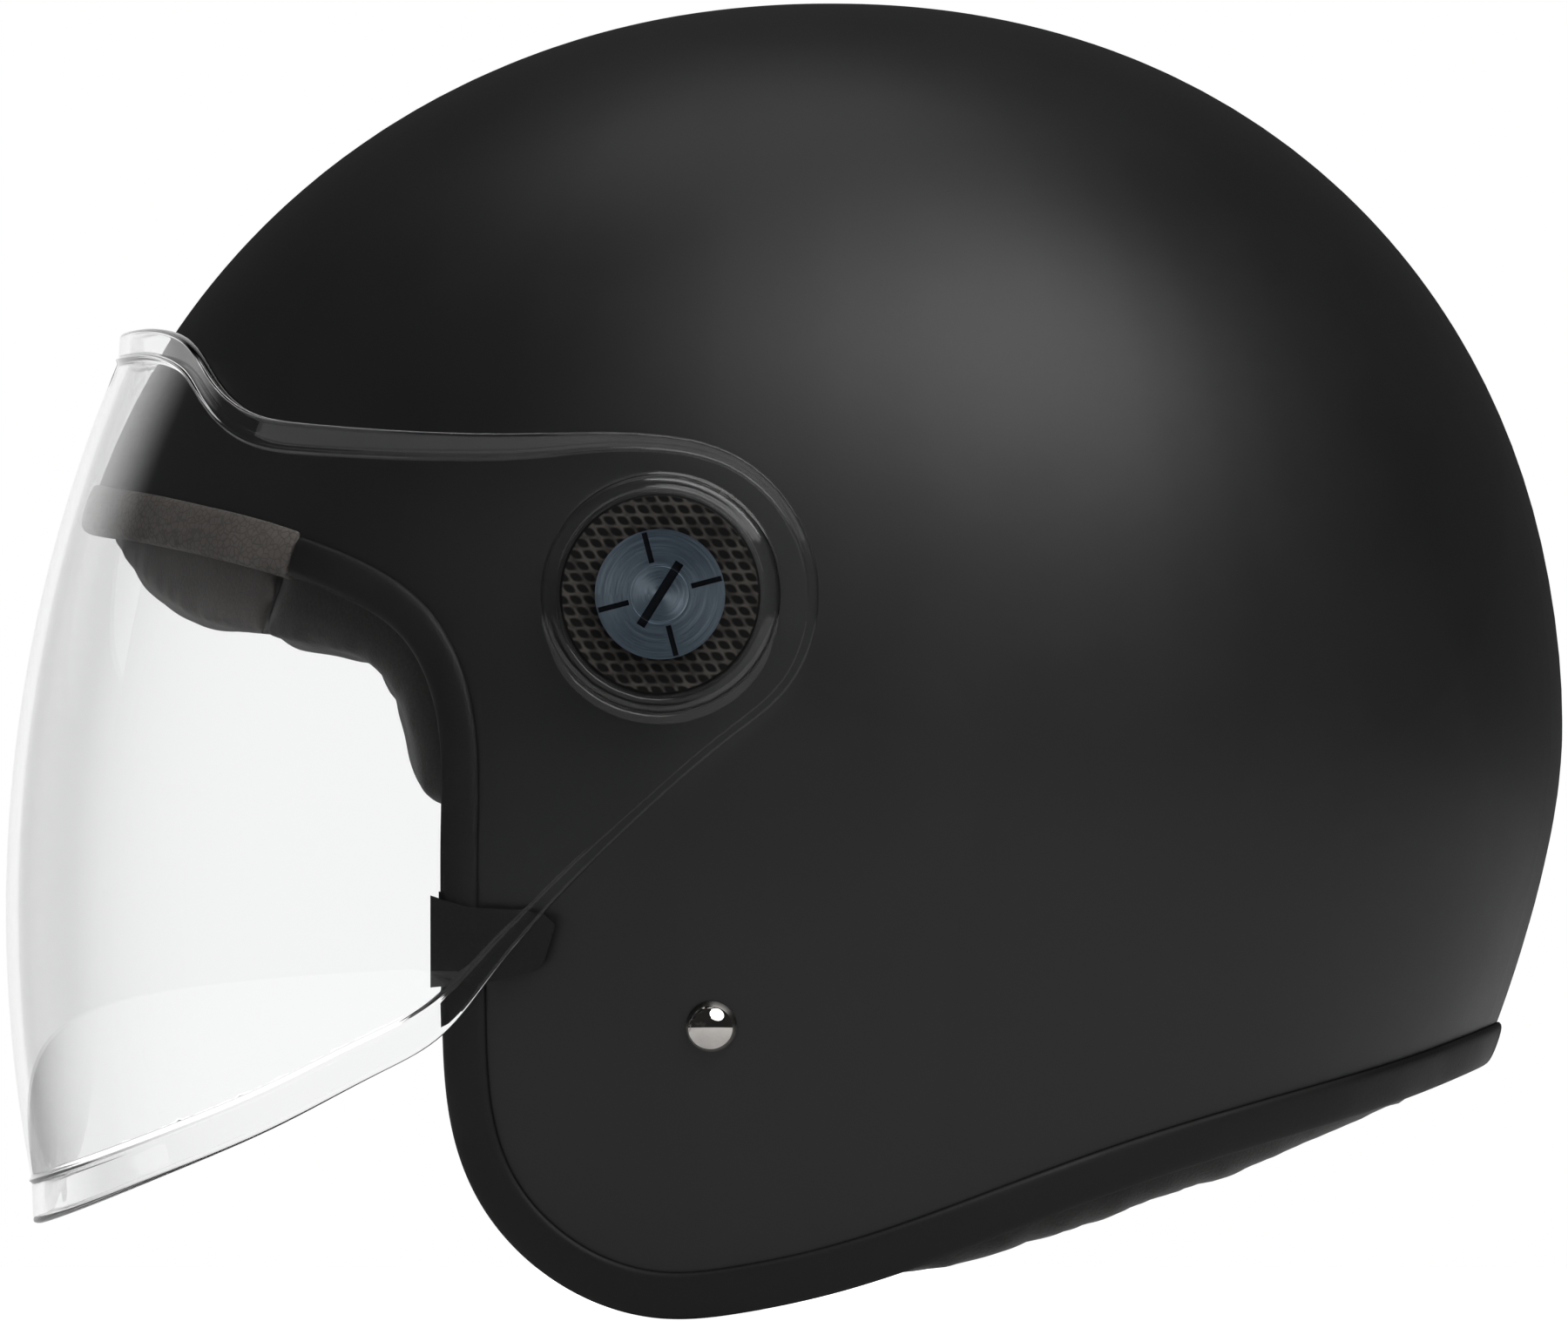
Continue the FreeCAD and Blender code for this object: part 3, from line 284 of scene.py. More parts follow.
class Surface(Tree):
    """A new material and its node tree."""

    def __init__(self, name):
        self.material = bpy.data.materials.new(name)
        self.material.use_nodes = True
        super().__init__(self.material.node_tree)
        self.shader = self.tree.nodes["Principled BSDF"]
        self.where = self.new("ShaderNodeTexCoord").outputs["Object"]

    def base(self, **sockets):
        """Sets the main shader's sockets and gives back the material."""
        names = {
            "colour": "Base Color", "rough": "Roughness", "metal": "Metallic", "ior": "IOR",
            "specular": "Specular IOR Level", "sheen": "Sheen Weight", "coat": "Coat Weight",
            "coat_rough": "Coat Roughness", "normal": "Normal", "transmission": "Transmission Weight",
        }  # fmt: skip
        for key, value in sockets.items():
            self.put(value, self.shader.inputs[names[key]])
        return self.material

    def noise(self, scale, detail=3.0, rough=0.5, where=None, stretch=None):
        node = self.new("ShaderNodeTexNoise")
        for name, value in (("Scale", scale), ("Detail", detail), ("Roughness", rough)):
            node.inputs[name].default_value = value
        source = where or self.where
        if stretch:
            mapping = self.new("ShaderNodeMapping")
            mapping.inputs["Scale"].default_value = stretch
            self.link(source, mapping.inputs["Vector"])
            source = mapping.outputs["Vector"]
        self.link(source, node.inputs["Vector"])
        return node.outputs["Fac"]

    def cells(self, scale, feature="F1", randomness=1.0, where=None, output="Distance"):
        node = self.new("ShaderNodeTexVoronoi", feature=feature)
        node.inputs["Scale"].default_value = scale
        node.inputs["Randomness"].default_value = randomness
        self.link(where or self.where, node.inputs["Vector"])
        return node.outputs[output]

    def bumps(self, *layers):
        """A normal with bumps over each other, each given as (height, distance, strength)."""
        normal = None
        for height, distance, strength in layers:
            node = self.new("ShaderNodeBump")
            node.inputs["Distance"].default_value = distance
            node.inputs["Strength"].default_value = strength
            self.link(height, node.inputs["Height"])
            if normal:
                self.link(normal, node.inputs["Normal"])
            normal = node.outputs["Normal"]
        return normal

    def give_way(self, other, factor):
        """Another shader takes the main one's place where the factor is 1."""
        mix = self.new("ShaderNodeMixShader")
        self.link(factor, mix.inputs["Fac"])
        self.link(self.shader.outputs[0], mix.inputs[1])
        self.link(other.outputs[0], mix.inputs[2])
        self.link(mix.outputs[0], self.tree.nodes["Material Output"].inputs["Surface"])


def matt_paint():
    n = Surface("matt_shell")
    speckle, cloud, peel = n.noise(2600.0, 2.0), n.noise(26.0, 4.0), n.noise(420.0, 2.0)
    colour = n.blend(n.ramp(cloud, 0.3, 0.72), (0.0036, 0.0036, 0.0038), (0.0046, 0.0046, 0.0048))
    rough = n.plus(n.ramp(cloud, 0.3, 0.7, 0.43, 0.475), n.ramp(speckle, 0.3, 0.7, -0.012, 0.012))
    normal = n.bumps((peel, 0.00003, 0.35), (speckle, 0.00001, 0.5))
    return n.base(colour=colour, rough=rough, specular=0.34, normal=normal)


def clear_sheet():
    """Clear plastic that lets light through to what it covers."""
    n = Surface("clear_visor")
    rough = n.ramp(n.noise(60.0, 3.0), 0.66, 0.9, 0.0, 0.02)
    n.base(colour=(0.995, 0.997, 0.998), rough=rough, ior=1.35, transmission=1.0, specular=0.5)
    through = n.new("ShaderNodeBsdfTransparent")
    n.put((0.97, 0.975, 0.98), through.inputs["Color"])
    n.give_way(through, n.new("ShaderNodeLightPath").outputs["Is Shadow Ray"])
    return n.material


def edge_rubber():
    n = Surface("edge_rubber")
    grain, pores, cloud = n.noise(1500.0, 3.0), n.cells(900.0), n.noise(40.0, 3.0)
    colour = n.blend(n.ramp(cloud, 0.3, 0.7), (0.0026, 0.0025, 0.0025), (0.0044, 0.0042, 0.0041))
    normal = n.bumps((grain, 0.00006, 0.6), (n.ramp(pores, 0.0, 0.5), 0.00004, 0.35))
    return n.base(colour=colour, rough=n.ramp(cloud, 0.3, 0.7, 0.5, 0.64), specular=0.22, normal=normal)


def grained_leather(name, dark, light):
    n = Surface(name)
    creases = n.ramp(n.cells(750.0, "DISTANCE_TO_EDGE"), 0.0, 0.16)
    broad, drawn = n.noise(55.0, 4.0), n.noise(90.0, 4.0, stretch=(1.0, 1.0, 5.0))
    tone = n.shades((creases, 0.0, 1.0, 0.55), (broad, 0.25, 0.75, 0.65), (drawn, 0.3, 0.7, 0.82))
    normal = n.bumps((creases, 0.00012, 0.55), (broad, 0.0006, 0.3))
    rough = n.ramp(tone, 0.3, 1.0, 0.66, 0.5)
    return n.base(colour=n.blend(tone, dark, light), rough=rough, specular=0.35, normal=normal)


def knitted_cloth(name, dark, light, pitch):
    """A fine spacer knit: rows of small loops with open holes between them."""
    n = Surface(name)
    shift = n.times(n.minus(n.noise(140.0, 2.0), 0.5), 0.0007)
    place = n.join(*[n.plus(axis, shift) for axis in n.split(n.where)])
    hole = n.ramp(n.cells(1.0 / pitch, "F1", 0.25, place), 0.12, 0.42)
    fuzz, broad = n.noise(3200.0, 3.0), n.noise(30.0, 4.0)
    tone = n.shades((hole, 0.0, 1.0, 0.45), (fuzz, 0.3, 0.7, 0.75), (broad, 0.25, 0.75, 0.75))
    normal = n.bumps((hole, 0.00022, 0.7), (fuzz, 0.00008, 0.5))
    rough = n.ramp(tone, 0.2, 1.0, 0.98, 0.82)
    return n.base(colour=n.blend(tone, dark, light), rough=rough, specular=0.2, normal=normal, sheen=0.35)


def brushed_cloth(name, dark, light):
    """A napped lining cloth: short soft fibres that catch light unevenly."""
    n = Surface(name)
    nap, fibre = n.noise(1800.0, 5.0, 0.65), n.noise(2600.0, 3.0, stretch=(1.0, 0.25, 0.6))
    tone = n.shades((nap, 0.25, 0.75, 0.5), (n.noise(22.0, 4.0), 0.2, 0.8, 0.65), (fibre, 0.3, 0.7, 0.7))
    normal = n.bumps((nap, 0.00025, 0.55), (fibre, 0.00012, 0.4))
    rough = n.ramp(tone, 0.2, 0.9, 1.0, 0.86)
    return n.base(colour=n.blend(tone, dark, light), rough=rough, specular=0.18, normal=normal, sheen=0.3)


def bead_foam():
    """Expanded foam: pressed beads of slightly different shades with dents between them."""
    n = Surface("impact_foam")
    dents = n.ramp(n.cells(300.0, "DISTANCE_TO_EDGE"), 0.0, 0.12)
    shade = n.split(n.cells(300.0, output="Color"))[0]
    tone = n.shades((dents, 0.0, 1.0, 0.35), (shade, 0.0, 1.0, 0.75))
    colour = n.blend(tone, (0.008, 0.008, 0.009), (0.035, 0.035, 0.037))
    rough = n.ramp(shade, 0.0, 1.0, 0.55, 0.72)
    return n.base(colour=colour, rough=rough, specular=0.3, normal=n.bumps((dents, 0.0004, 0.8)))


def woven_webbing(name):
    """Ribbed webbing: raised ribs along its length and fine picks that slant across."""
    n = Surface(name)
    x, y, z = n.split(n.where)
    across = n.minus(y, STRAP_Y * MM)
    ribs = n.ripple(across, 0.0021)
    slant = n.math("MULTIPLY_ADD", n.plus(x, z), math.pi / 0.0011, n.times(across, 900.0))
    picks = n.math("ABSOLUTE", n.math("SINE", slant))
    tone = n.shades((ribs, 0.0, 0.8, 0.4), (picks, 0.0, 0.8, 0.6), (n.noise(3000.0, 3.0), 0.3, 0.7, 0.8))
    colour = n.blend(tone, (0.004, 0.004, 0.0045), (0.026, 0.026, 0.028))
    normal = n.bumps((ribs, 0.0003, 0.8), (picks, 0.00012, 0.7))
    rough = n.ramp(tone, 0.2, 1.0, 0.85, 0.62)
    return n.base(colour=colour, rough=rough, specular=0.3, normal=normal, sheen=0.15)


def moulded_plastic(name, colour, rough=0.45):
    n = Surface(name)
    grain, cloud = n.noise(1100.0, 3.0), n.noise(70.0, 3.0)
    light = tuple(min(1.0, c * 1.35) for c in colour)
    tone = n.blend(n.ramp(cloud, 0.3, 0.7), colour, light)
    rough = n.ramp(cloud, 0.3, 0.7, rough - 0.05, rough + 0.06)
    return n.base(colour=tone, rough=rough, specular=0.4, normal=n.bumps((grain, 0.00005, 0.5)))


def plain_metal(name, colour):
    """Metal with fine brush marks."""
    n = Surface(name)
    streak, cloud = n.noise(900.0, 4.0, stretch=(0.07, 1.0, 1.0)), n.noise(60.0, 3.0)
    dark = tuple(c * 0.78 for c in colour)
    tone = n.blend(n.ramp(n.plus(streak, cloud), 0.8, 1.2), dark, colour)
    normal = n.bumps((streak, 0.00003, 0.25))
    return n.base(colour=tone, metal=1.0, rough=n.ramp(streak, 0.3, 0.7, 0.24, 0.4), normal=normal)


def pivot_place(n):
    """Sideways and upward distance from the pivot's axis, and the distance from it, in metres."""
    x, y, z = n.split(n.where)
    across, up = n.minus(y, float(PIVOT[0] * MM)), n.minus(z, float(PIVOT[1] * MM))
    radius = n.math("SQRT", n.math("MULTIPLY_ADD", across, across, n.times(up, up)))
    return across, up, radius


def turned_metal():
    """Blue-grey anodised aluminium, turned on a lathe, with a ring at the edge of its centre and painted
    gleams.
    """
    n = Surface("screw_metal")
    across, up, radius = pivot_place(n)
    angle = n.math("ARCTAN2", up, across)
    rings = n.noise(1.0, 3.0, where=n.join(n.times(radius, 5200.0), n.times(angle, 0.8), 0.0))
    fine = n.noise(1.0, 2.0, where=n.join(n.times(radius, 14000.0), n.times(angle, 1.6), 4.0))

    def painted_gleams(turn):
        """Painted highlights: the two broad gleams that a turned face shows under light, as 0 to 1 round the
        axis.
        """
        wave = n.math("COSINE", n.math("MULTIPLY_ADD", angle, 2.0, turn))
        return n.math("MULTIPLY_ADD", wave, 0.5, 0.5)

    # painted highlights: a brighter pair of gleams on the centre and the broad pair over the whole face go
    # into the colour
    painted_centre_gleam = n.times(n.math("POWER", painted_gleams(0.9), 3.0), n.ramp(radius, 0.00530, 0.00545, 1.0, 0.0))
    tone = n.plus(n.times(n.math("POWER", painted_gleams(0.5), 1.6), 0.42), n.times(painted_centre_gleam, 0.55))
    tone = n.times(n.plus(tone, n.times(rings, 0.18)), n.ramp(fine, 0.3, 0.7, 0.86, 1.0))
    lip = n.times(n.ramp(radius, 0.00515, 0.0053), n.ramp(radius, 0.0054, 0.00555, 1.0, 0.0))
    tone = n.math("SUBTRACT", tone, n.times(lip, 0.12), clamp=True)
    colour = n.blend(tone, (0.062, 0.084, 0.109), (0.225, 0.275, 0.325))
    # painted shade: the slot and the grooves lie deeper than the screw's face, and their colour is darkened
    depth = n.math("ABSOLUTE", n.split(n.where)[0])
    painted_shade_in_cuts = n.times(n.ramp(depth, 0.1271, 0.12785, 1.0, 0.0), n.ramp(radius, 0.0117, 0.0119, 1.0, 0.0))
    colour = n.blend(painted_shade_in_cuts, colour, (0.012, 0.014, 0.017))
    normal = n.bumps((n.plus(n.times(rings, 0.6), n.times(lip, -2.0)), 0.00003, 0.5))
    return n.base(colour=colour, metal=1.0, rough=n.ramp(rings, 0.3, 0.7, 0.28, 0.4), normal=normal)


def woven_cover():
    """A dark open weave: threads that cross round rows of small holes, each row half a hole aside."""
    n = Surface("cover_weave")
    across, up, radius = pivot_place(n)
    pitch, row_height = 0.0025, 0.0021
    cell_u = n.math("FRACT", n.math("DIVIDE", n.plus(across, n.times(up, pitch / row_height / 2)), pitch))
    cell_v = n.math("FRACT", n.math("DIVIDE", up, row_height))
    crown_u, crown_v = (n.math("SINE", n.times(cell, math.pi)) for cell in (cell_u, cell_v))
    web = n.ramp(n.times(crown_u, crown_v), 0.05, 0.6, 1.0, 0.0)
    threads = n.ripple(n.plus(cell_u, cell_v), 0.2)
    uneven = n.ramp(n.noise(420.0, 2.0), 0.3, 0.7, 0.35, 1.0)
    on_flat = n.ramp(radius, 0.0181, 0.0184, 1.0, 0.0)
    tone = n.times(web, n.ramp(threads, 0.0, 1.0, 0.7, 1.0), uneven, on_flat)
    colour = n.blend(tone, (0.0010, 0.0009, 0.0008), (0.044, 0.040, 0.036))
    normal = n.bumps((web, 0.00012, 0.5), (threads, 0.00003, 0.6))
    rough = n.ramp(tone, 0.0, 0.8, 0.7, 0.5)
    return n.base(colour=colour, rough=rough, specular=0.1, normal=normal, coat=0.04, coat_rough=0.1)


def polished_chrome():
    n = Surface("rivet_chrome")
    smear = n.noise(260.0, 4.0)
    colour = n.blend(n.ramp(smear, 0.3, 0.75), (0.45, 0.43, 0.41), (0.56, 0.535, 0.51))
    rough = n.ramp(smear, 0.6, 0.8, 0.0, 0.08)
    return n.base(colour=colour, metal=1.0, rough=rough, normal=n.bumps((smear, 0.00001, 0.2)))


MATERIALS = {
    "matt_shell": matt_paint(),
    "impact_foam": bead_foam(),
    "comfort_cloth": knitted_cloth("comfort_cloth", (0.018, 0.018, 0.019), (0.085, 0.085, 0.089), 0.0014),
    "lining_cloth": brushed_cloth("lining_cloth", (0.013, 0.0122, 0.0118), (0.036, 0.034, 0.033)),
    "brow_cloth": brushed_cloth("brow_cloth", (0.046, 0.043, 0.041), (0.094, 0.087, 0.083)),
    "brow_leather": grained_leather("brow_leather", (0.022, 0.019, 0.017), (0.090, 0.080, 0.073)),
    "edge_rubber": edge_rubber(),
    "clear_visor": clear_sheet(),
    "hinge_plastic": moulded_plastic("hinge_plastic", (0.012, 0.012, 0.012)),
    "cover_weave": woven_cover(),
    "screw_metal": turned_metal(),
    "rivet_chrome": polished_chrome(),
    "plain_steel": plain_metal("plain_steel", (0.50, 0.50, 0.51)),
    "insert_brass": plain_metal("insert_brass", (0.60, 0.44, 0.18)),
    "snap_plastic": moulded_plastic("snap_plastic", (0.01, 0.01, 0.01), 0.4),
    "strap_webbing": woven_webbing("strap_webbing"),
    "pull_tab_red": moulded_plastic("pull_tab_red", (0.40, 0.015, 0.012), 0.42),
    "tongue_plastic": moulded_plastic("tongue_plastic", (0.011, 0.011, 0.012), 0.38),
}

slot_of = {part["node"]: part["material_slot"] for part in frame["record"]["subparts"]}
for name, node in NODES.items():
    node.data.materials.clear()
    node.data.materials.append(MATERIALS[slot_of[name]])

# ------------------------------------------------------------------ camera, floor and lights

VIEW_DISTANCE, VIEW_WIDTH, VIEW_HEIGHT, SENSOR = 11.4, 0.2942, 0.1227, 36.0


def new_object(name, data):
    thing = bpy.data.objects.new(name, data)
    scene.collection.objects.link(thing)
    return thing


camera_data = bpy.data.cameras.new("camera")
camera = new_object("camera", camera_data)
scene.camera = camera
camera.location = (VIEW_DISTANCE, 0.0, VIEW_HEIGHT)
camera.rotation_euler = (math.pi / 2, 0.0, math.pi / 2)
camera_data.sensor_width = SENSOR
camera_data.lens = SENSOR * VIEW_DISTANCE / VIEW_WIDTH
camera_data.clip_end = 50.0


def softbox(name, place, aim, size, power, mirrored):
    data = bpy.data.lights.new(name, "AREA")
    data.shape = "ELLIPSE"
    data.size = data.size_y = size
    data.energy = power
    light = new_object(name, data)
    light.location = place
    light.rotation_euler = (Vector(aim) - Vector(place)).to_track_quat("-Z", "Y").to_euler()
    light.visible_glossy = light.visible_transmission = mirrored


softbox("key_softbox", (0.9, 0.46, 1.09), (0.1, 0.03, 0.18), 1.35, 20.0, True)
softbox("top_softbox", (-0.1, -0.12, 1.5), (0.0, 0.0, 0.15), 1.1, 3.6, True)
softbox("far_softbox", (-1.2, 0.3, 0.9), (0.0, 0.0, 0.12), 0.8, 2.0, False)
softbox("front_fill", (0.3, -1.6, 0.7), (0.0, -0.05, 0.12), 0.9, 4.0, False)


def seen_directly(n):
    """1 along a ray from the camera that nothing has mirrored or scattered, else 0."""
    path = n.new("ShaderNodeLightPath").outputs
    return n.math("LESS_THAN", n.plus(path["Glossy Depth"], path["Diffuse Depth"]), 0.5)


def seen_sharply(n):
    """1 along a ray that the visor's near wall or polished metal has mirrored, else 0."""
    path = n.new("ShaderNodeLightPath").outputs
    return n.times(n.math("LESS_THAN", path["Transmission Depth"], 2.5), path["Is Singular Ray"])


def light_world(blurred=0.05, sharp=0.03, scattered=0.22):
    """White to the camera; a dim room to other rays, with a white backdrop on the far side, at -X,
    that only sharp reflections show. The numbers are the room's strength by the kind of ray."""
    scene.world = bpy.data.worlds.new("studio")
    scene.world.use_nodes = True
    n = Tree(scene.world.node_tree)
    path = n.new("ShaderNodeLightPath").outputs
    direction = n.split(n.new("ShaderNodeTexCoord").outputs["Generated"])
    backdrop = n.ramp(direction[0], -0.55, -0.86)
    white = n.math("MAXIMUM", seen_directly(n), n.times(backdrop, seen_sharply(n)))
    room = n.minus(blurred, n.times(path["Is Singular Ray"], blurred - sharp))
    room = n.plus(room, n.times(path["Is Diffuse Ray"], scattered - blurred))
    background = n.tree.nodes["Background"].inputs
    n.put(n.math("MAXIMUM", white, room), background["Strength"])
    n.put((1.0, 1.0, 1.0), background["Color"])


light_world()
scene.view_settings.view_transform = "Standard"
scene.view_settings.look = "None"


def make_floor(radius=0.9, level=-0.0003, rings=12, around=96):
    """A pale disc just under the helmet. It is white to the camera and clear from below."""
    turns = np.linspace(0, 2 * math.pi, around, endpoint=False)
    circle = np.column_stack([np.cos(turns), np.sin(turns)])
    points, faces = [(0.0, 0.0, level)], [(0, 1 + i, 1 + (i + 1) % around) for i in range(around)]
    for k in range(1, rings + 1):
        points += [(x, y, level) for x, y in circle * radius * k / rings]
        if k > 1:
            faces += ring_faces(1 + (k - 1) * around, 1 + (k - 2) * around, around)
    data = bpy.data.meshes.new("floor")
    data.from_pydata(points, [], faces)
    n = Surface("pale_floor")
    colour = n.blend(n.ramp(n.noise(45.0, 4.0), 0.3, 0.7), (0.80, 0.80, 0.80), (0.84, 0.84, 0.84))
    n.base(colour=colour, rough=0.6, specular=0.2)
    n.put((1.0, 1.0, 1.0), n.shader.inputs["Emission Color"])
    n.put(seen_directly(n), n.shader.inputs["Emission Strength"])
    n.give_way(n.new("ShaderNodeBsdfTransparent"), n.new("ShaderNodeNewGeometry").outputs["Backfacing"])
    data.materials.append(n.material)
    new_object("floor", data)


make_floor()

# ------------------------------------------------------------------ building pieces


def add_mesh(name, points, faces, node, body):
    """A new piece from points in mm, which takes the place and the material of a CAD node."""
    data = bpy.data.meshes.new(name)
    data.from_pydata([tuple(p) for p in np.asarray(points) * MM], [], faces)
    data.validate()
    data.update()
    piece = new_object(name, data)
    data.materials.append(MATERIALS[slot_of[node]])
    data.shade_smooth()
    made = bmesh.new()
    made.from_mesh(data)
    bmesh.ops.recalc_face_normals(made, faces=made.faces)
    made.to_mesh(data)
    made.free()
    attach(piece, body)
    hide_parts(node)
    return piece


def subdivided(piece):
    modifier = piece.modifiers.new("fine", "SUBSURF")
    modifier.levels = modifier.render_levels = 1


# ------------------------------------------------------------------ the trims along the shell's edge


def edge_line(count=900):
    """The shell's rolled edge in 3-D on the left half, from brow to nape, ending at the middle."""
    flat = smooth_line(EDGE, 4000)
    first, last = np.flatnonzero(half_width(flat[:, 0], flat[:, 1], 0.0) > 0.5)[[0, -1]]
    # closer together at both ends, where the edge crosses the middle
    share = (1 - np.cos(np.linspace(0, math.pi, count))) / 2
    flat = read_at(first + share * (last - first), np.arange(len(flat)), flat)
    line = np.column_stack([half_width(flat[:, 0], flat[:, 1], 0.0), flat])
    ends = line[[0, -1]] * [0, 1, 1]
    ends[:, 1] += [-0.03, 0.03]
    return np.vstack([ends[:1], line, ends[1:]])


def channel_profile(leg, proud, depth=5.5, over=0.0):
    """A soft U-shaped channel, as (inwards from the rolled edge, outwards). leg is how far it reaches
    over the shell, and over is how far its nose stands past the edge."""
    fold, shell = 1.65, 4.2
    outer_leg = [
        (leg, 0.10), (leg - 0.05, 0.55), (leg - 0.5, proud * 0.86), (leg * 0.72, proud * 1.04),
        (leg * 0.42, proud * 1.08), (leg * 0.2, proud * 0.96),
    ]  # fmt: skip
    nose = [(0.55, proud * 0.55), (0.02, -0.3), (-0.15, -1.5), (-0.15, -2.9)]
    if over:
        nose = [(0.55 - over * 0.7, proud * 0.62), (0.02 - over, -0.3), (-0.1 - over, -1.5), (-over, -2.9)]
    inner_leg = [
        (0.15, -4.2), (0.9, -depth + 0.25), (leg * 0.35, -depth - 0.05), (leg * 0.75, -depth),
        (leg - 0.2, -depth + 0.25), (leg, -depth + 0.7),
    ]  # fmt: skip
    slot = [
        (leg - 0.6, -shell - 0.1), (fold + 1.0, -shell), (fold, -shell + 0.4), (fold, -0.4),
        (fold + 1.0, 0.05), (leg - 0.8, 0.03),
    ]  # fmt: skip
    return outer_leg + nose + inner_leg + slot


def add_trim(name, node, line, profile, wobble=None):
    """A channel swept along a line on the form; wobble gives each profile point's unevenness."""
    normal = outward_of(line)
    inward = unit(np.cross(normal, tangents(line, False)))
    points = []
    for k, (along_form, proud) in enumerate(profile):
        uneven = wobble(line, k) if wobble else np.zeros(len(line))
        shift = along_form + uneven * (0.6 if along_form > 2 else 0.0)
        base = onto_form(line + inward * shift[:, None], 0.0)
        lift = proud + uneven * (1.0 if proud > 0.3 else 0.0)
        points.append(base + outward_of(base) * lift[:, None])
    grid = np.stack(points, axis=1).reshape(-1, 3)
    subdivided(add_mesh(name, grid, tube_faces(len(line), len(profile)), node, "helmet"))


def build_trims():
    half = resample(edge_line(), 420)
    brow_slope = (BROW_HIGH[0] - BROW_LOW[0]) / (BROW_HIGH[1] - BROW_LOW[1])
    past_brow = np.flatnonzero(half[:, 1] > BROW_HIGH[0] + (half[:, 2] - BROW_HIGH[1]) * brow_slope)[0]
    past_joint = np.flatnonzero((half[:, 2] < TRIM_JOINT_Z) & (np.arange(len(half)) > past_brow))[0]
    mirror = np.array([-1, 1, 1])
    waves = np.random.default_rng(7).uniform(0, 2 * math.pi, 8)

    def leather_wobble(line, k):
        run = lengths_along(line)
        return 0.16 * sum(np.sin(run / (5.5 + 3.1 * j) + waves[j] + 0.5 * k) / (j + 2) for j in range(6))

    brow_half = half[: past_brow + 1]
    brow = resample(np.vstack([brow_half[::-1] * mirror, brow_half[1:]]), 260)
    add_trim("brow_band", "brow_trim", brow, channel_profile(8.6, 1.15, 5.9, 0.5), leather_wobble)
    face_half = half[past_brow : past_joint + 1]
    face = {"left": resample(face_half, 110), "right": resample(face_half * mirror, 110)[::-1]}
    for side, line in face.items():
        add_trim(f"face_channel_{side}", f"face_trim_{side}", line, channel_profile(7.8, 1.4))
    base_half = half[past_joint:]
    base = resample(np.vstack([base_half * mirror, base_half[::-1][1:]])[::-1], 420)
    add_trim("base_channel", "base_trim", base, channel_profile(9.2, 1.4))


build_trims()

# ------------------------------------------------------------------ the visor

VISOR_POWER, VISOR_HALF, ARC_RADIUS, ARC_HEIGHT, REACH = 2.3, 123.6, 262.0, 75.7, 146.0
VISOR_WALL = 2.2
# Over and under the belt, the visor's width falls off with the square of the height.
BELT_LOW, BELT_HIGH, BELT_FALL = 100.0, 140.0, 0.0006
EAR_RADIUS = 29.6
GRID, RIM_GAP, DISH_GAP = 4.2, 2.2, 2.4
# The bead along the flange's crease: its height and its spread where the flange is BEAD_FULL wide or
# more, and the share of both that is left where the flange is narrowest.
BEAD_HEIGHT, BEAD_SPREAD, BEAD_FULL, BEAD_LEAST = 0.5, 0.36, 4.5, 0.35
# How far the panel rises to the ring round each dish.
DISH_RISE, DISH_RUN = 0.35, 2.6
# The visor's outline in side view, then, as (y, z, width, flare), how its flange widens and leans out.
VISOR_TOP = [
    (-160, 184), (-126, 182.6), (-117, 184.0), (-110, 181.6), (-106.6, 177), (-103.2, 172.2),
    (-98, 168.4), (-89.2, 166.6), (-73, 165.4), (-48.7, 164.8),
]  # fmt: skip
VISOR_FOOT = [
    (-25.8, 94.6), (-46.1, 74.3), (-55, 63.4), (-64.5, 52.2), (-74.6, 46.4), (-94.1, 36.2),
    (-113.5, 27.7), (-133, 19.8), (-160, 10.5),
]  # fmt: skip
FLANGE = [
    (-123, 183, 4.4, 1.8), (-117, 184, 4.6, 1.9), (-106.6, 177, 5.4, 2.0), (-98, 168.4, 5.2, 2.0),
    (-84, 166.2, 4.9, 1.8), (-48.7, 164.8, 4.2, 1.5), (-34, 164, 3.2, 1.1), (-20, 164.4, 2.8, 0.9),
    (6.6, 135, 2.1, 0.55), (-9, 109, 1.8, 0.5), (-25.8, 94.6, 1.8, 0.5), (-46.1, 74.3, 2.7, 0.8),
    (-55, 63.4, 3.8, 1.1), (-64.5, 52.2, 6.0, 1.5), (-94.1, 36.2, 6.8, 1.5), (-133, 19.8, 7.8, 1.4),
]  # fmt: skip
# Each ear's dish, as radii on the panel and then (radius, half width) round its raised ring, floor and bore.
DISH_RADII = [24.8, 24.2, 23.5, 22.8, 22.2]
DISH = [
    (21.85, 124.6), (21.7, 124.95), (21.4, 125.18), (20.6, 125.2), (19.75, 125.2), (19.42, 125.1),
    (19.25, 124.8), (19.2, 123.6), (19.2, 122.75), (19.1, 122.5), (18.85, 122.4), (14.0, 122.4),
    (10.0, 122.4), (9.65, 122.35), (9.5, 122.1), (9.5, 120.5), (9.6, 120.25), (9.9, 120.2),
    (15.0, 120.2), (20.8, 120.2), (21.3, 120.35), (21.6, 120.7),
]  # fmt: skip


def visor_size(z, inset):
    over, under = np.maximum(z - BELT_HIGH, 0), np.maximum(BELT_LOW - z, 0)
    width = VISOR_HALF - BELT_FALL * (over**2 + under**2) - inset
    reach = PIVOT[0] + np.sqrt(ARC_RADIUS**2 - (z - ARC_HEIGHT) ** 2) - (ARC_RADIUS - REACH) - inset
    return width, reach


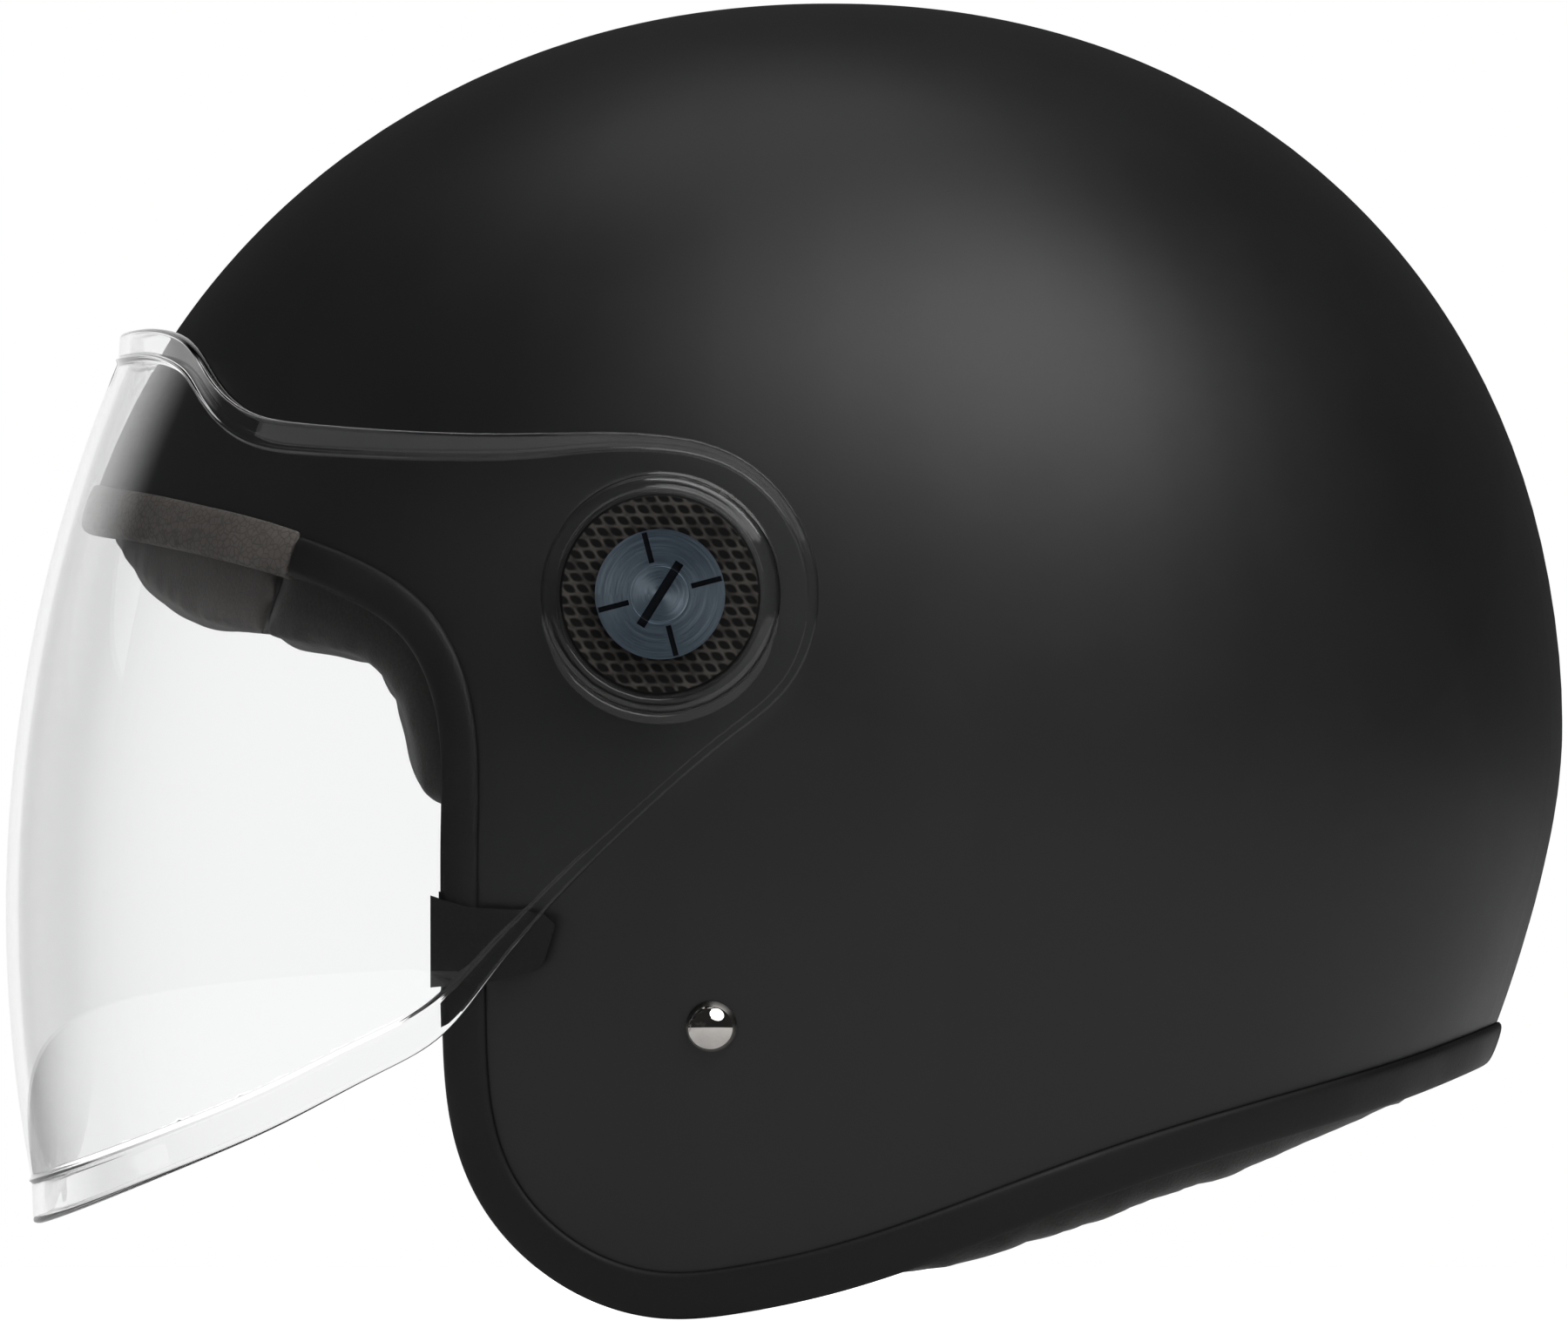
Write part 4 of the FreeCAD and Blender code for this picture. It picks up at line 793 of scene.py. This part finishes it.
def visor_plan(turn, z, inset):
    """A point of the visor's curved front; turn is 0 beside the pivot and a right angle in front."""
    width, reach = visor_size(z, inset)
    spread = (np.abs(np.cos(turn)) / width) ** VISOR_POWER + (np.sin(turn) / reach) ** VISOR_POWER
    radius = spread ** (-1 / VISOR_POWER)
    return radius * np.cos(turn), PIVOT[0] - radius * np.sin(turn)


TURNS = np.linspace(math.pi / 2, 0, 2000)
RUNS = lengths_along(np.stack(visor_plan(TURNS, 110.0, 0.0), axis=1))
SIDE_RUN = RUNS[-1]


def visor_point(run, z, inset):
    """The visor's face at a distance round it from the middle, and a height."""
    size, sign = np.abs(run), np.where(run < 0, -1.0, 1.0)
    x, y = visor_plan(np.interp(size, RUNS, TURNS), z, inset)
    past = size > SIDE_RUN
    x = np.where(past, visor_size(z, inset)[0], x)
    y = np.where(past, PIVOT[0] + size - SIDE_RUN, y)
    return np.stack([x * sign, y, z], axis=1)


def visor_normal(run, z):
    step = 0.2
    along = visor_point(run + step, z, 0.0) - visor_point(run - step, z, 0.0)
    up = visor_point(run, z + step, 0.0) - visor_point(run, z - step, 0.0)
    normal = np.cross(along, up)
    outwards = visor_point(run, z, 0.0) * [1, 1, 0]
    return unit(normal * np.sign(np.sum(normal * outwards, axis=1))[:, None])


def visor_run(y, z):
    """The distance round the visor to side-view places; negative ahead of its front."""
    ahead = np.full(len(y), math.pi / 2)
    turn = bisected(np.zeros(len(y)), ahead, lambda turn: visor_plan(turn, z, 0.0)[1] > y, 46)
    run = np.interp(-turn, -TURNS, RUNS)
    run = np.where(y > PIVOT[0], SIDE_RUN + y - PIVOT[0], run)
    return np.where(visor_plan(ahead, z, 0.0)[1] > y, -1.0, run)


def visor_loop(spacing=1.7):
    """The visor's whole outline unrolled, with the flange's width and flare at each point."""
    arc = [math.radians(88.0 - 150.0 * i / 6) for i in range(7)]
    ear = [(PIVOT[0] + EAR_RADIUS * math.cos(a), PIVOT[1] + EAR_RADIUS * math.sin(a)) for a in arc]
    side_view = smooth_line(VISOR_TOP + ear + VISOR_FOOT, 6000)
    run = visor_run(side_view[:, 0], side_view[:, 1])
    side_view, run = side_view[run > 0.4], run[run > 0.4]
    half = np.column_stack([run, side_view[:, 1]])
    half = np.vstack([[0, half[0, 1]], half, [0, half[-1, 1]]])
    side_view = np.vstack([side_view[:1], side_view, side_view[-1:]])
    length = lengths_along(half)
    marks = [np.argmin(np.sum((side_view - mark[:2]) ** 2, axis=1)) for mark in FLANGE]
    flange = read_at(length, length[marks], [mark[2:] for mark in FLANGE])
    at = np.linspace(0, length[-1], int(length[-1] / spacing))
    left = read_at(at, length, np.column_stack([half, flange]))
    loop = np.vstack([left, left[-2:0:-1] * [-1, 1, 1, 1]])
    for _ in range(3):
        loop = (np.roll(loop, 1, axis=0) + 2 * loop + np.roll(loop, -1, axis=0)) / 4
    return loop


def flare_share(share):
    """1 at the flange's edge, 0 past its crease, with a rounded crease between."""
    soft = 0.2
    bend = (1 + soft - share) ** 2 / (4 * soft)
    return np.where(share < 1 - soft, 1 - share, np.where(share > 1 + soft, 0.0, bend))


def inside(points, polygon):
    """Whether each flat point lies inside a polygon."""
    x, y = points[:, 0][:, None], points[:, 1][:, None]
    a, b = polygon, np.roll(polygon, -1, axis=0)
    crosses = (a[:, 1] > y) != (b[:, 1] > y)
    rise = np.where(b[:, 1] == a[:, 1], 1e-9, b[:, 1] - a[:, 1])
    right_of = x < (b[:, 0] - a[:, 0]) * (y - a[:, 1]) / rise + a[:, 0]
    return np.sum(crosses & right_of, axis=1) % 2 == 1


def clear_of(points, polygon, gap):
    """Whether each flat point is further than a gap from a polygon's corners."""
    tree = KDTree(len(polygon))
    for i, (x, y) in enumerate(polygon):
        tree.insert((x, y, 0), i)
    tree.balance()
    return np.array([tree.find((x, y, 0))[2] > gap for x, y in points])


def visor_panel(rim, centres, circle):
    """The panel between the rim and the dishes: the points of an even grid, and all its triangles."""
    grid = np.stack(np.meshgrid(np.arange(-250, 251, GRID), np.arange(10, 190, GRID)), axis=-1)
    grid = grid.reshape(-1, 2)
    grid = grid[inside(grid, rim)]
    grid = grid[clear_of(grid, rim, RIM_GAP)]
    for centre in centres.values():
        grid = grid[np.linalg.norm(grid - centre, axis=1) > DISH_RADII[0] + DISH_GAP]
    borders = [rim] + [centres[sign] + circle * [sign, 1] * DISH_RADII[0] for sign in centres]
    edges, start = [], 0
    for border in borders:
        edges += [(start + i, start + (i + 1) % len(border)) for i in range(len(border))]
        start += len(border)
    flat = np.vstack(borders + [grid])
    result = delaunay_2d_cdt([Vector(p) for p in flat], edges, [], 0, 1e-6)
    assert len(result[0]) == len(flat)
    triangles = []
    for face in result[2]:
        middle = np.mean([result[0][i] for i in face], axis=0)
        on_panel = all(np.linalg.norm(middle - centre) > DISH_RADII[0] for centre in centres.values())
        if on_panel and inside(middle[None], rim)[0]:
            triangles.append([result[3][i][0] for i in face])
    return grid, triangles


def build_visor():
    loop = visor_loop()
    place, width, flare = loop[:, :2], loop[:, 2], loop[:, 3]
    along = unit(np.roll(place, -1, axis=0) - np.roll(place, 1, axis=0))
    inward = np.stack([along[:, 1], -along[:, 0]], axis=1)
    count = len(loop)
    # the flange, the small bead along its crease and a little of the panel past it
    bead = np.clip(width / BEAD_FULL, BEAD_LEAST, 1.0)
    gaps = [0.5 + share * (width - 0.5) for share in (0.0, 0.1, 0.25, 0.45, 0.6, 0.7)]
    gaps += [width + step * bead for step in np.linspace(-0.9, 0.9, 13)]
    gaps.append(width + 1.15)
    spots = [place + inward * gap[:, None] for gap in gaps]
    lifts = [flare * flare_share(gap / width) for gap in gaps]
    beads = [BEAD_HEIGHT * bead * np.exp(-(((gap - width) / (BEAD_SPREAD * bead)) ** 2)) for gap in gaps]

    around = 96
    turns = np.linspace(0, 2 * math.pi, around, endpoint=False)
    circle = np.stack([np.cos(turns), np.sin(turns)], axis=1)
    centres = {sign: np.array([sign * SIDE_RUN, PIVOT[1]]) for sign in (1, -1)}
    grid, triangles = visor_panel(spots[-1], centres, circle)
    points, faces = [], []

    def add(block):
        start = sum(len(b) for b in points)
        points.append(np.asarray(block))
        return start

    def join(rings, size):
        for a, b in zip(rings, rings[1:]):
            faces.extend(ring_faces(a, b, size))

    def face_at(flat, lift, wall):
        run, z = flat[:, 0], flat[:, 1]
        return visor_point(run, z, wall) + visor_normal(run, z) * np.reshape(lift, (-1, 1))

    # sheets: outer, then inner; each holds the flange's rings, the grid and the dishes' rings
    sheets = []
    for wall in (0.0, VISOR_WALL):
        proud = lifts if wall else [lift + height for lift, height in zip(lifts, beads)]
        rings = [add(face_at(spot, lift, wall)) for spot, lift in zip(spots, proud)]
        join(rings, count)
        grid_start = add(face_at(grid, 0.0, wall))
        dishes = []
        for sign, centre in centres.items():
            loops = []
            for radius in DISH_RADII:
                rise = 0.0 if wall else DISH_RISE * ((DISH_RADII[0] - radius) / DISH_RUN) ** 2
                loops.append(add(face_at(centre + circle * [sign, 1] * radius, rise, wall)))
            join(loops, around)
            dishes.append(loops)
        index = list(range(rings[-1], rings[-1] + count))
        for loops in dishes:
            index += range(loops[0], loops[0] + around)
        index += range(grid_start, grid_start + len(grid))
        faces.extend(tuple(index[i] for i in triangle) for triangle in triangles)
        sheets.append((rings[0], dishes))

    # the rounded edge between the two sheets
    (outer_rim, outer_dishes), (inner_rim, inner_dishes) = sheets
    edge = [outer_rim]
    for gap, wall in [(0.16, 0.22), (0.02, 0.7), (0.02, 1.4), (0.16, 1.95)]:
        edge.append(add(face_at(place + inward * gap, flare * flare_share(gap / width), wall)))
    join(edge + [inner_rim], count)

    # each ear's dish: a raised ring, a flat floor and the bore for the hub
    for sign, outer, inner in zip(centres, outer_dishes, inner_dishes):
        dish = [outer[-1]]
        for radius, depth in DISH:
            dish.append(add(np.column_stack([np.full(around, sign * depth), PIVOT + circle * radius])))
        join(dish + [inner[-1]], around)
    add_mesh("visor_sheet", np.vstack(points), faces, "visor", "visor")


build_visor()

# ------------------------------------------------------------------ padded pieces

SIM_FRAMES = 20


def evaluated(piece):
    """Applies the piece's modifiers."""
    depsgraph = bpy.context.evaluated_depsgraph_get()
    depsgraph.update()
    data = bpy.data.meshes.new_from_object(piece.evaluated_get(depsgraph))
    piece.modifiers.clear()
    old = piece.data
    piece.data = data
    bpy.data.meshes.remove(old)


def vectors_of(rows, key):
    flat = np.empty(len(rows) * 3, np.float32)
    rows.foreach_get(key, flat)
    return flat.reshape(-1, 3).astype(float)


def corners(data):
    """Vertex places in mm."""
    return vectors_of(data.vertices, "co") / MM


def outward(data):
    """Unit vertex normals."""
    return vectors_of(data.vertex_normals, "vector")


def move_to(data, points):
    data.vertices.foreach_set("co", (points * MM).astype(np.float32).ravel())
    data.update()


def push(data, distance):
    """Moves each vertex along its normal by its own distance in mm."""
    move_to(data, corners(data) + outward(data) * distance[:, None])


def off_form(points, backing, clear):
    """0 where a pad rests on the foam or shell behind it, 1 where it is clear of it."""
    return smooth_step(depth_of(points), backing, clear)


def off_shell(points):
    return off_form(points, 8.0, 13.0)


def remeshed(name, node, voxel):
    """An evenly meshed copy of a CAD soft solid; voxel in mm."""
    data = NODES[node].data.copy()
    data.name = name
    piece = new_object(name, data)
    remesh = piece.modifiers.new("even", "REMESH")
    remesh.mode = "VOXEL"
    remesh.voxel_size = voxel * MM
    smooth = piece.modifiers.new("round", "SMOOTH")
    smooth.factor, smooth.iterations = 0.5, 4
    evaluated(piece)
    return piece


def simulated(piece, pressure):
    """Where the piece's points come to rest as cloth under inner pressure."""
    cloth = piece.modifiers.new("cloth", "CLOTH")
    settings = cloth.settings
    settings.quality = 4
    settings.mass = 0.2
    settings.tension_stiffness = settings.compression_stiffness = 6.0
    settings.shear_stiffness, settings.bending_stiffness = 3.0, 0.3
    settings.use_pressure = True
    settings.uniform_pressure_force = pressure
    settings.effector_weights.gravity = 0.0
    cloth.collision_settings.use_collision = False
    cloth.point_cache.frame_start, cloth.point_cache.frame_end = 1, SIM_FRAMES
    for step in range(1, SIM_FRAMES + 1):
        scene.frame_set(step)
    target = corners(piece.evaluated_get(bpy.context.evaluated_depsgraph_get()).data)
    piece.modifiers.clear()
    scene.frame_set(1)
    return target


def cushion(name, node, voxel, freedom_of, shrink, limit, pressure=4.0):
    """An evenly meshed copy of a CAD pad, drawn in by shrink and then blown up by at most limit, in
    mm. freedom_of gives the share of both that each point takes."""
    piece = remeshed(name, node, voxel)
    freedom = freedom_of(corners(piece.data))
    if shrink:
        push(piece.data, -shrink * freedom)
    start = corners(piece.data)
    target = simulated(piece, pressure)
    move = target - start
    far = np.linalg.norm(move, axis=1, keepdims=True)
    move *= np.minimum(1.0, limit / np.maximum(far, 1e-9))
    move_to(piece.data, start + move * freedom[:, None])
    subdivided(piece)
    evaluated(piece)
    return piece


def sewn(piece, gap_of, depth, width, ridge):
    """Draws the surface in along seams; gap_of gives each point's distance from the nearest seam."""
    gap = gap_of(corners(piece.data))
    pull = depth * np.exp(-((gap / width) ** 2))
    swell = ridge * np.exp(-(((gap - 2.4 * width) / (1.3 * width)) ** 2))
    push(piece.data, swell - pull)


def creased(piece, size, depth, seed, mask=None):
    """Soft irregular folds, from a few seeded waves."""
    rng = np.random.default_rng(seed)
    points = corners(piece.data)
    value = np.zeros(len(points))
    for _ in range(14):
        direction = rng.normal(size=3)
        direction /= np.linalg.norm(direction)
        wave = 2 * math.pi / (size * rng.uniform(0.7, 1.9))
        value += np.sin(points @ direction * wave + rng.uniform(0, 6.3))
    value *= depth / 3.7
    push(piece.data, value * mask(points) if mask else value)


def finished(piece, node, material, body):
    piece.data.materials.clear()
    piece.data.materials.append(MATERIALS[material])
    piece.data.shade_smooth()
    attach(piece, body)
    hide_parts(node)


def flat_distance(points, line):
    """Distance in side view from each point to a line of side-view places."""
    best = np.full(len(points), np.inf)
    for a, b in zip(line, line[1:]):
        run = b - a
        share = np.clip(((points[:, 1:] - a) @ run) / (run @ run), 0, 1)
        best = np.minimum(best, np.linalg.norm(points[:, 1:] - a - share[:, None] * run, axis=1))
    return best


# The seam round a cheek pad's face, in side view, and the inset that the face lies at.
CHEEK_SEAM = [
    (-46, 84), (-47, 60), (-44, 42), (-36, 31), (-20, 27), (-2, 29), (12, 38), (22, 50), (24, 66),
    (16, 80), (0, 84), (-24, 85), (-46, 84),
]  # fmt: skip
CHEEK_FACE = 30.0


def build_cheek_pads():
    seam = smooth_line(CHEEK_SEAM, 60)

    def face_gap(points):
        return np.hypot(flat_distance(points, seam), np.maximum(CHEEK_FACE - depth_of(points), 0))

    for side in ("left", "right"):
        node = f"cheek_pad_{side}"
        piece = cushion(f"cheek_cushion_{side}", node, 3.2, lambda p: off_form(p, 20.0, 25.0), 0.8, 3.4)
        sewn(piece, face_gap, 1.5, 1.5, 0.35)
        sewn(piece, lambda p: np.abs(depth_of(p) - 27.5), 1.1, 1.3, 0.3)
        creased(piece, 26.0, 0.45, 3, lambda p: off_form(p, 22.0, CHEEK_FACE))
        finished(piece, node, "comfort_cloth", "helmet")


def build_front_linings():
    piece = cushion("brow_cushion", "brow_pad", 2.2, off_shell, 0.4, 1.3)
    creased(piece, 17.0, 0.22, 11)
    finished(piece, "brow_pad", "brow_cloth", "helmet")

    def off_middle(p):
        return off_shell(p) * smooth_step(np.abs(p[:, 0]), 1.0, 5.0)

    for side in ("left", "right"):
        node = f"temple_pad_{side}"
        piece = cushion(f"temple_cushion_{side}", node, 2.4, off_middle, 0.4, 1.2)
        creased(piece, 15.0, 0.2, 13)
        finished(piece, node, "lining_cloth", "helmet")


def build_neck_roll():
    piece = cushion("neck_cushion", "neck_roll", 3.4, off_shell, 0.7, 2.6)
    sewn(piece, lambda p: np.abs(depth_of(p) - 15.0), 1.2, 1.4, 0.3)
    sewn(piece, lambda p: np.abs(np.abs(p[:, 0]) - 34.0), 1.0, 1.3, 0.25)
    creased(piece, 30.0, 0.4, 5)
    finished(piece, "neck_roll", "lining_cloth", "helmet")


def build_chin_pad():
    """The sleeve round the strap, sewn along near both edges."""

    def off_strap(p):
        return smooth_step(np.abs(p[:, 2] - (p[:, 2].min() + p[:, 2].max()) / 2), 1.2, 2.6)

    piece = cushion("chin_sleeve", "chin_pad", 1.3, off_strap, 0.0, 0.7, 3.0)
    sewn(piece, lambda p: np.abs(np.abs(p[:, 1] - STRAP_Y) - 11.6), 0.45, 0.7, 0.1)
    creased(piece, 12.0, 0.16, 9)
    finished(piece, "chin_pad", "lining_cloth", "chin_strap")


# The comfort liner: its foot in side view, the insets of its back and of the sewn face at seams and
# between them, and the places of the seams.
COMFORT_FOOT = [
    (-160, 166), (-104, 157), (-78, 148), (-58, 134), (-46, 118), (-30, 110), (20, 108),
    (52, 97), (80, 84), (110, 82), (160, 90),
]  # fmt: skip
LINER_BACK, LINER_BASE, LINER_SEAM, LINER_PUFF = 34.7, 38.0, 36.6, 4.4
CROWN_HALF, LEVEL_SEAM_Z, HALF_PANEL, PUFF_WIDTH = 30.0, 158.0, 13.0, 8.0
FAR_OFF = 99.0


def build_comfort_liner():
    """The quilted cloth liner: a dome of sewn panels over thin foam."""
    around, rows = 260, 96
    turn = np.linspace(0, 2 * math.pi, around, endpoint=False)
    foot = smooth_line(COMFORT_FOOT, 3000)

    def under_foot(z):
        y = on_ring(turn, z, LINER_BASE)[:, 1]
        return z <= np.interp(y, foot[:, 0], foot[:, 1])

    rim = bisected(np.full(around, 60.0), np.full(around, 200.0), under_foot, 40) + 0.8

    def sheet(inset_at):
        """Rings from near the crown down to the rim."""
        rings = []
        for share in np.linspace(0.03, 1.0, rows):
            z = rim + (TOP_Z - LINER_BASE - rim) * math.cos(share * math.pi / 2)
            inset = inset_at(z)
            rings.append(on_ring(turn, np.minimum(z, TOP_Z - inset - 0.02), inset))
        return rings

    def puffed(z):
        """The face's inset: each panel swells between its seams."""
        x, y, _ = on_ring(turn, np.minimum(z, TOP_Z - LINER_BASE - 0.1), LINER_BASE).T
        x = np.abs(x)
        in_crown = x < CROWN_HALF

        def panel_gap(shift):
            return HALF_PANEL - np.abs((y + shift) % (2 * HALF_PANEL) - HALF_PANEL)

        cross = np.where(in_crown, panel_gap(12.0), FAR_OFF)
        level = np.where(in_crown, FAR_OFF, np.abs(z - LEVEL_SEAM_Z))
        fans = np.where(in_crown | (z > LEVEL_SEAM_Z), FAR_OFF, panel_gap(4.0))
        rim_gap = np.maximum(z - rim, 0.0) * 1.1
        gap = np.minimum.reduce([np.abs(x - CROWN_HALF), cross, level, fans, rim_gap])
        share = np.clip(gap / PUFF_WIDTH, 0, 1)
        return LINER_SEAM + LINER_PUFF * np.sqrt(1 - (1 - share) ** 2) ** 0.9

    rings = sheet(lambda z: np.full(around, LINER_BACK))
    rings += [on_ring(turn, rim - drop, inset) for drop, inset in [(0.5, 35.0), (0.9, 35.8), (0.6, 36.5)]]
    rings += sheet(puffed)[::-1]
    last = (len(rings) - 1) * around
    crown = last + around
    faces = []
    for k in range(len(rings) - 1):
        faces += ring_faces(k * around, (k + 1) * around, around)
    faces += [(crown, (i + 1) % around, i) for i in range(around)]
    faces += [(crown + 1, last + i, last + (i + 1) % around) for i in range(around)]
    tops = np.array([[0, CENTRE_Y, TOP_Z - LINER_BACK], [0, CENTRE_Y, TOP_Z - 40.6]])
    piece = add_mesh("comfort_quilt", np.vstack(rings + [tops]), faces, "comfort_liner", "helmet")


# ------------------------------------------------------------------ the chin strap's webbing

# The strap's middle line in front view, as (x, z), from the rivet down and under the chin.
STRAP_DOWN = [(105.2, 67.5), (105.2, 58), (105, 47), (102.8, 29), (98.6, 15.5), (90.5, 8.4)]
STRAP_LEFT = STRAP_DOWN + [(80, 6.2), (69.4, 5.2)]
STRAP_RIGHT = STRAP_DOWN + [(78, 6.4), (50, 6.6), (19, 7.3)]
# The left strap goes round the buckle's bar and is sewn back on itself; the right one's end is a
# loop through the tongue.
BAR_PLACE, BAR_RADIUS = np.array([61.4, 5.2]), 2.55
SEAM_ENDS = [(63.6, 5.1), (71.0, 5.15)]
TONGUE_LOOP = np.array([(-20.6, 9.1), (-9.9, 9.1), (-9.9, 4.9), (-20.6, 4.9)])
RIB_PITCH, RIB_HEIGHT = 2.1, 0.14


def band(name, node, line, width=22.0, gauge=1.5, closed=False):
    """Flat webbing along a front-view line, with firm rolled edges and slight ribs."""
    line = np.asarray(line, float)
    tangent = tangents(line, closed)
    side = np.stack([-tangent[:, 1], tangent[:, 0]], axis=1)
    half, thick = width / 2, gauge / 2
    across = np.linspace(-half + 0.9, half - 0.9, 42)
    ribs = 0.5 + 0.5 * np.cos(across * 2 * math.pi / RIB_PITCH)
    face = [(u, thick - RIB_HEIGHT + RIB_HEIGHT * rib) for u, rib in zip(across, ribs)]
    rolled = [(0.35, 0.95), (0.05, 0.5), (0.0, 0.0), (0.05, -0.5), (0.35, -0.95)]
    edge = [(half - inwards, thick * out) for inwards, out in rolled]
    section = face + edge + [(u, -out) for u, out in face[::-1]] + [(-u, out) for u, out in edge[::-1]]
    points = []
    for (x, z), (side_x, side_z) in zip(line, side):
        points += [(x + side_x * out, STRAP_Y + u, z + side_z * out) for u, out in section]
    return add_mesh(name, points, tube_faces(len(line), len(section), closed), node, "chin_strap")


def rounded_loop(corner_points, radius):
    """A closed line with rounded corners, from corners whose sides are level or upright."""
    path = []
    for i, corner in enumerate(corner_points):
        before, after = corner_points[i - 1], corner_points[(i + 1) % len(corner_points)]
        a = corner + np.sign(before - corner) * radius
        b = corner + np.sign(after - corner) * radius
        path += [(1 - t) ** 2 * a + 2 * t * (1 - t) * corner + t * t * b for t in np.linspace(0, 1, 5)]
        following = after + np.sign(corner - after) * radius
        path += [b + (following - b) * t for t in np.linspace(0.2, 0.8, 4)]
    return np.array(path)


def build_straps():
    left, right = "strap_webbing_left", "strap_webbing_right"
    band("strap_left", left, smooth_line(STRAP_LEFT, 90))
    turns = np.linspace(0, 2 * math.pi, 40, endpoint=False)
    round_bar = BAR_PLACE + BAR_RADIUS * np.stack([np.cos(turns), np.sin(turns)], axis=1)
    band("strap_left_loop", left, round_bar, gauge=1.3, closed=True)
    band("strap_left_seam", left, np.linspace(*SEAM_ENDS, 12), gauge=1.6)
    band("strap_right", right, smooth_line(STRAP_RIGHT, 130) * [-1, 1])
    band("strap_right_loop", right, rounded_loop(TONGUE_LOOP, 1.2), width=15.4, gauge=1.1, closed=True)


build_cheek_pads()
build_front_linings()
build_neck_roll()
build_chin_pad()
build_comfort_liner()
build_straps()
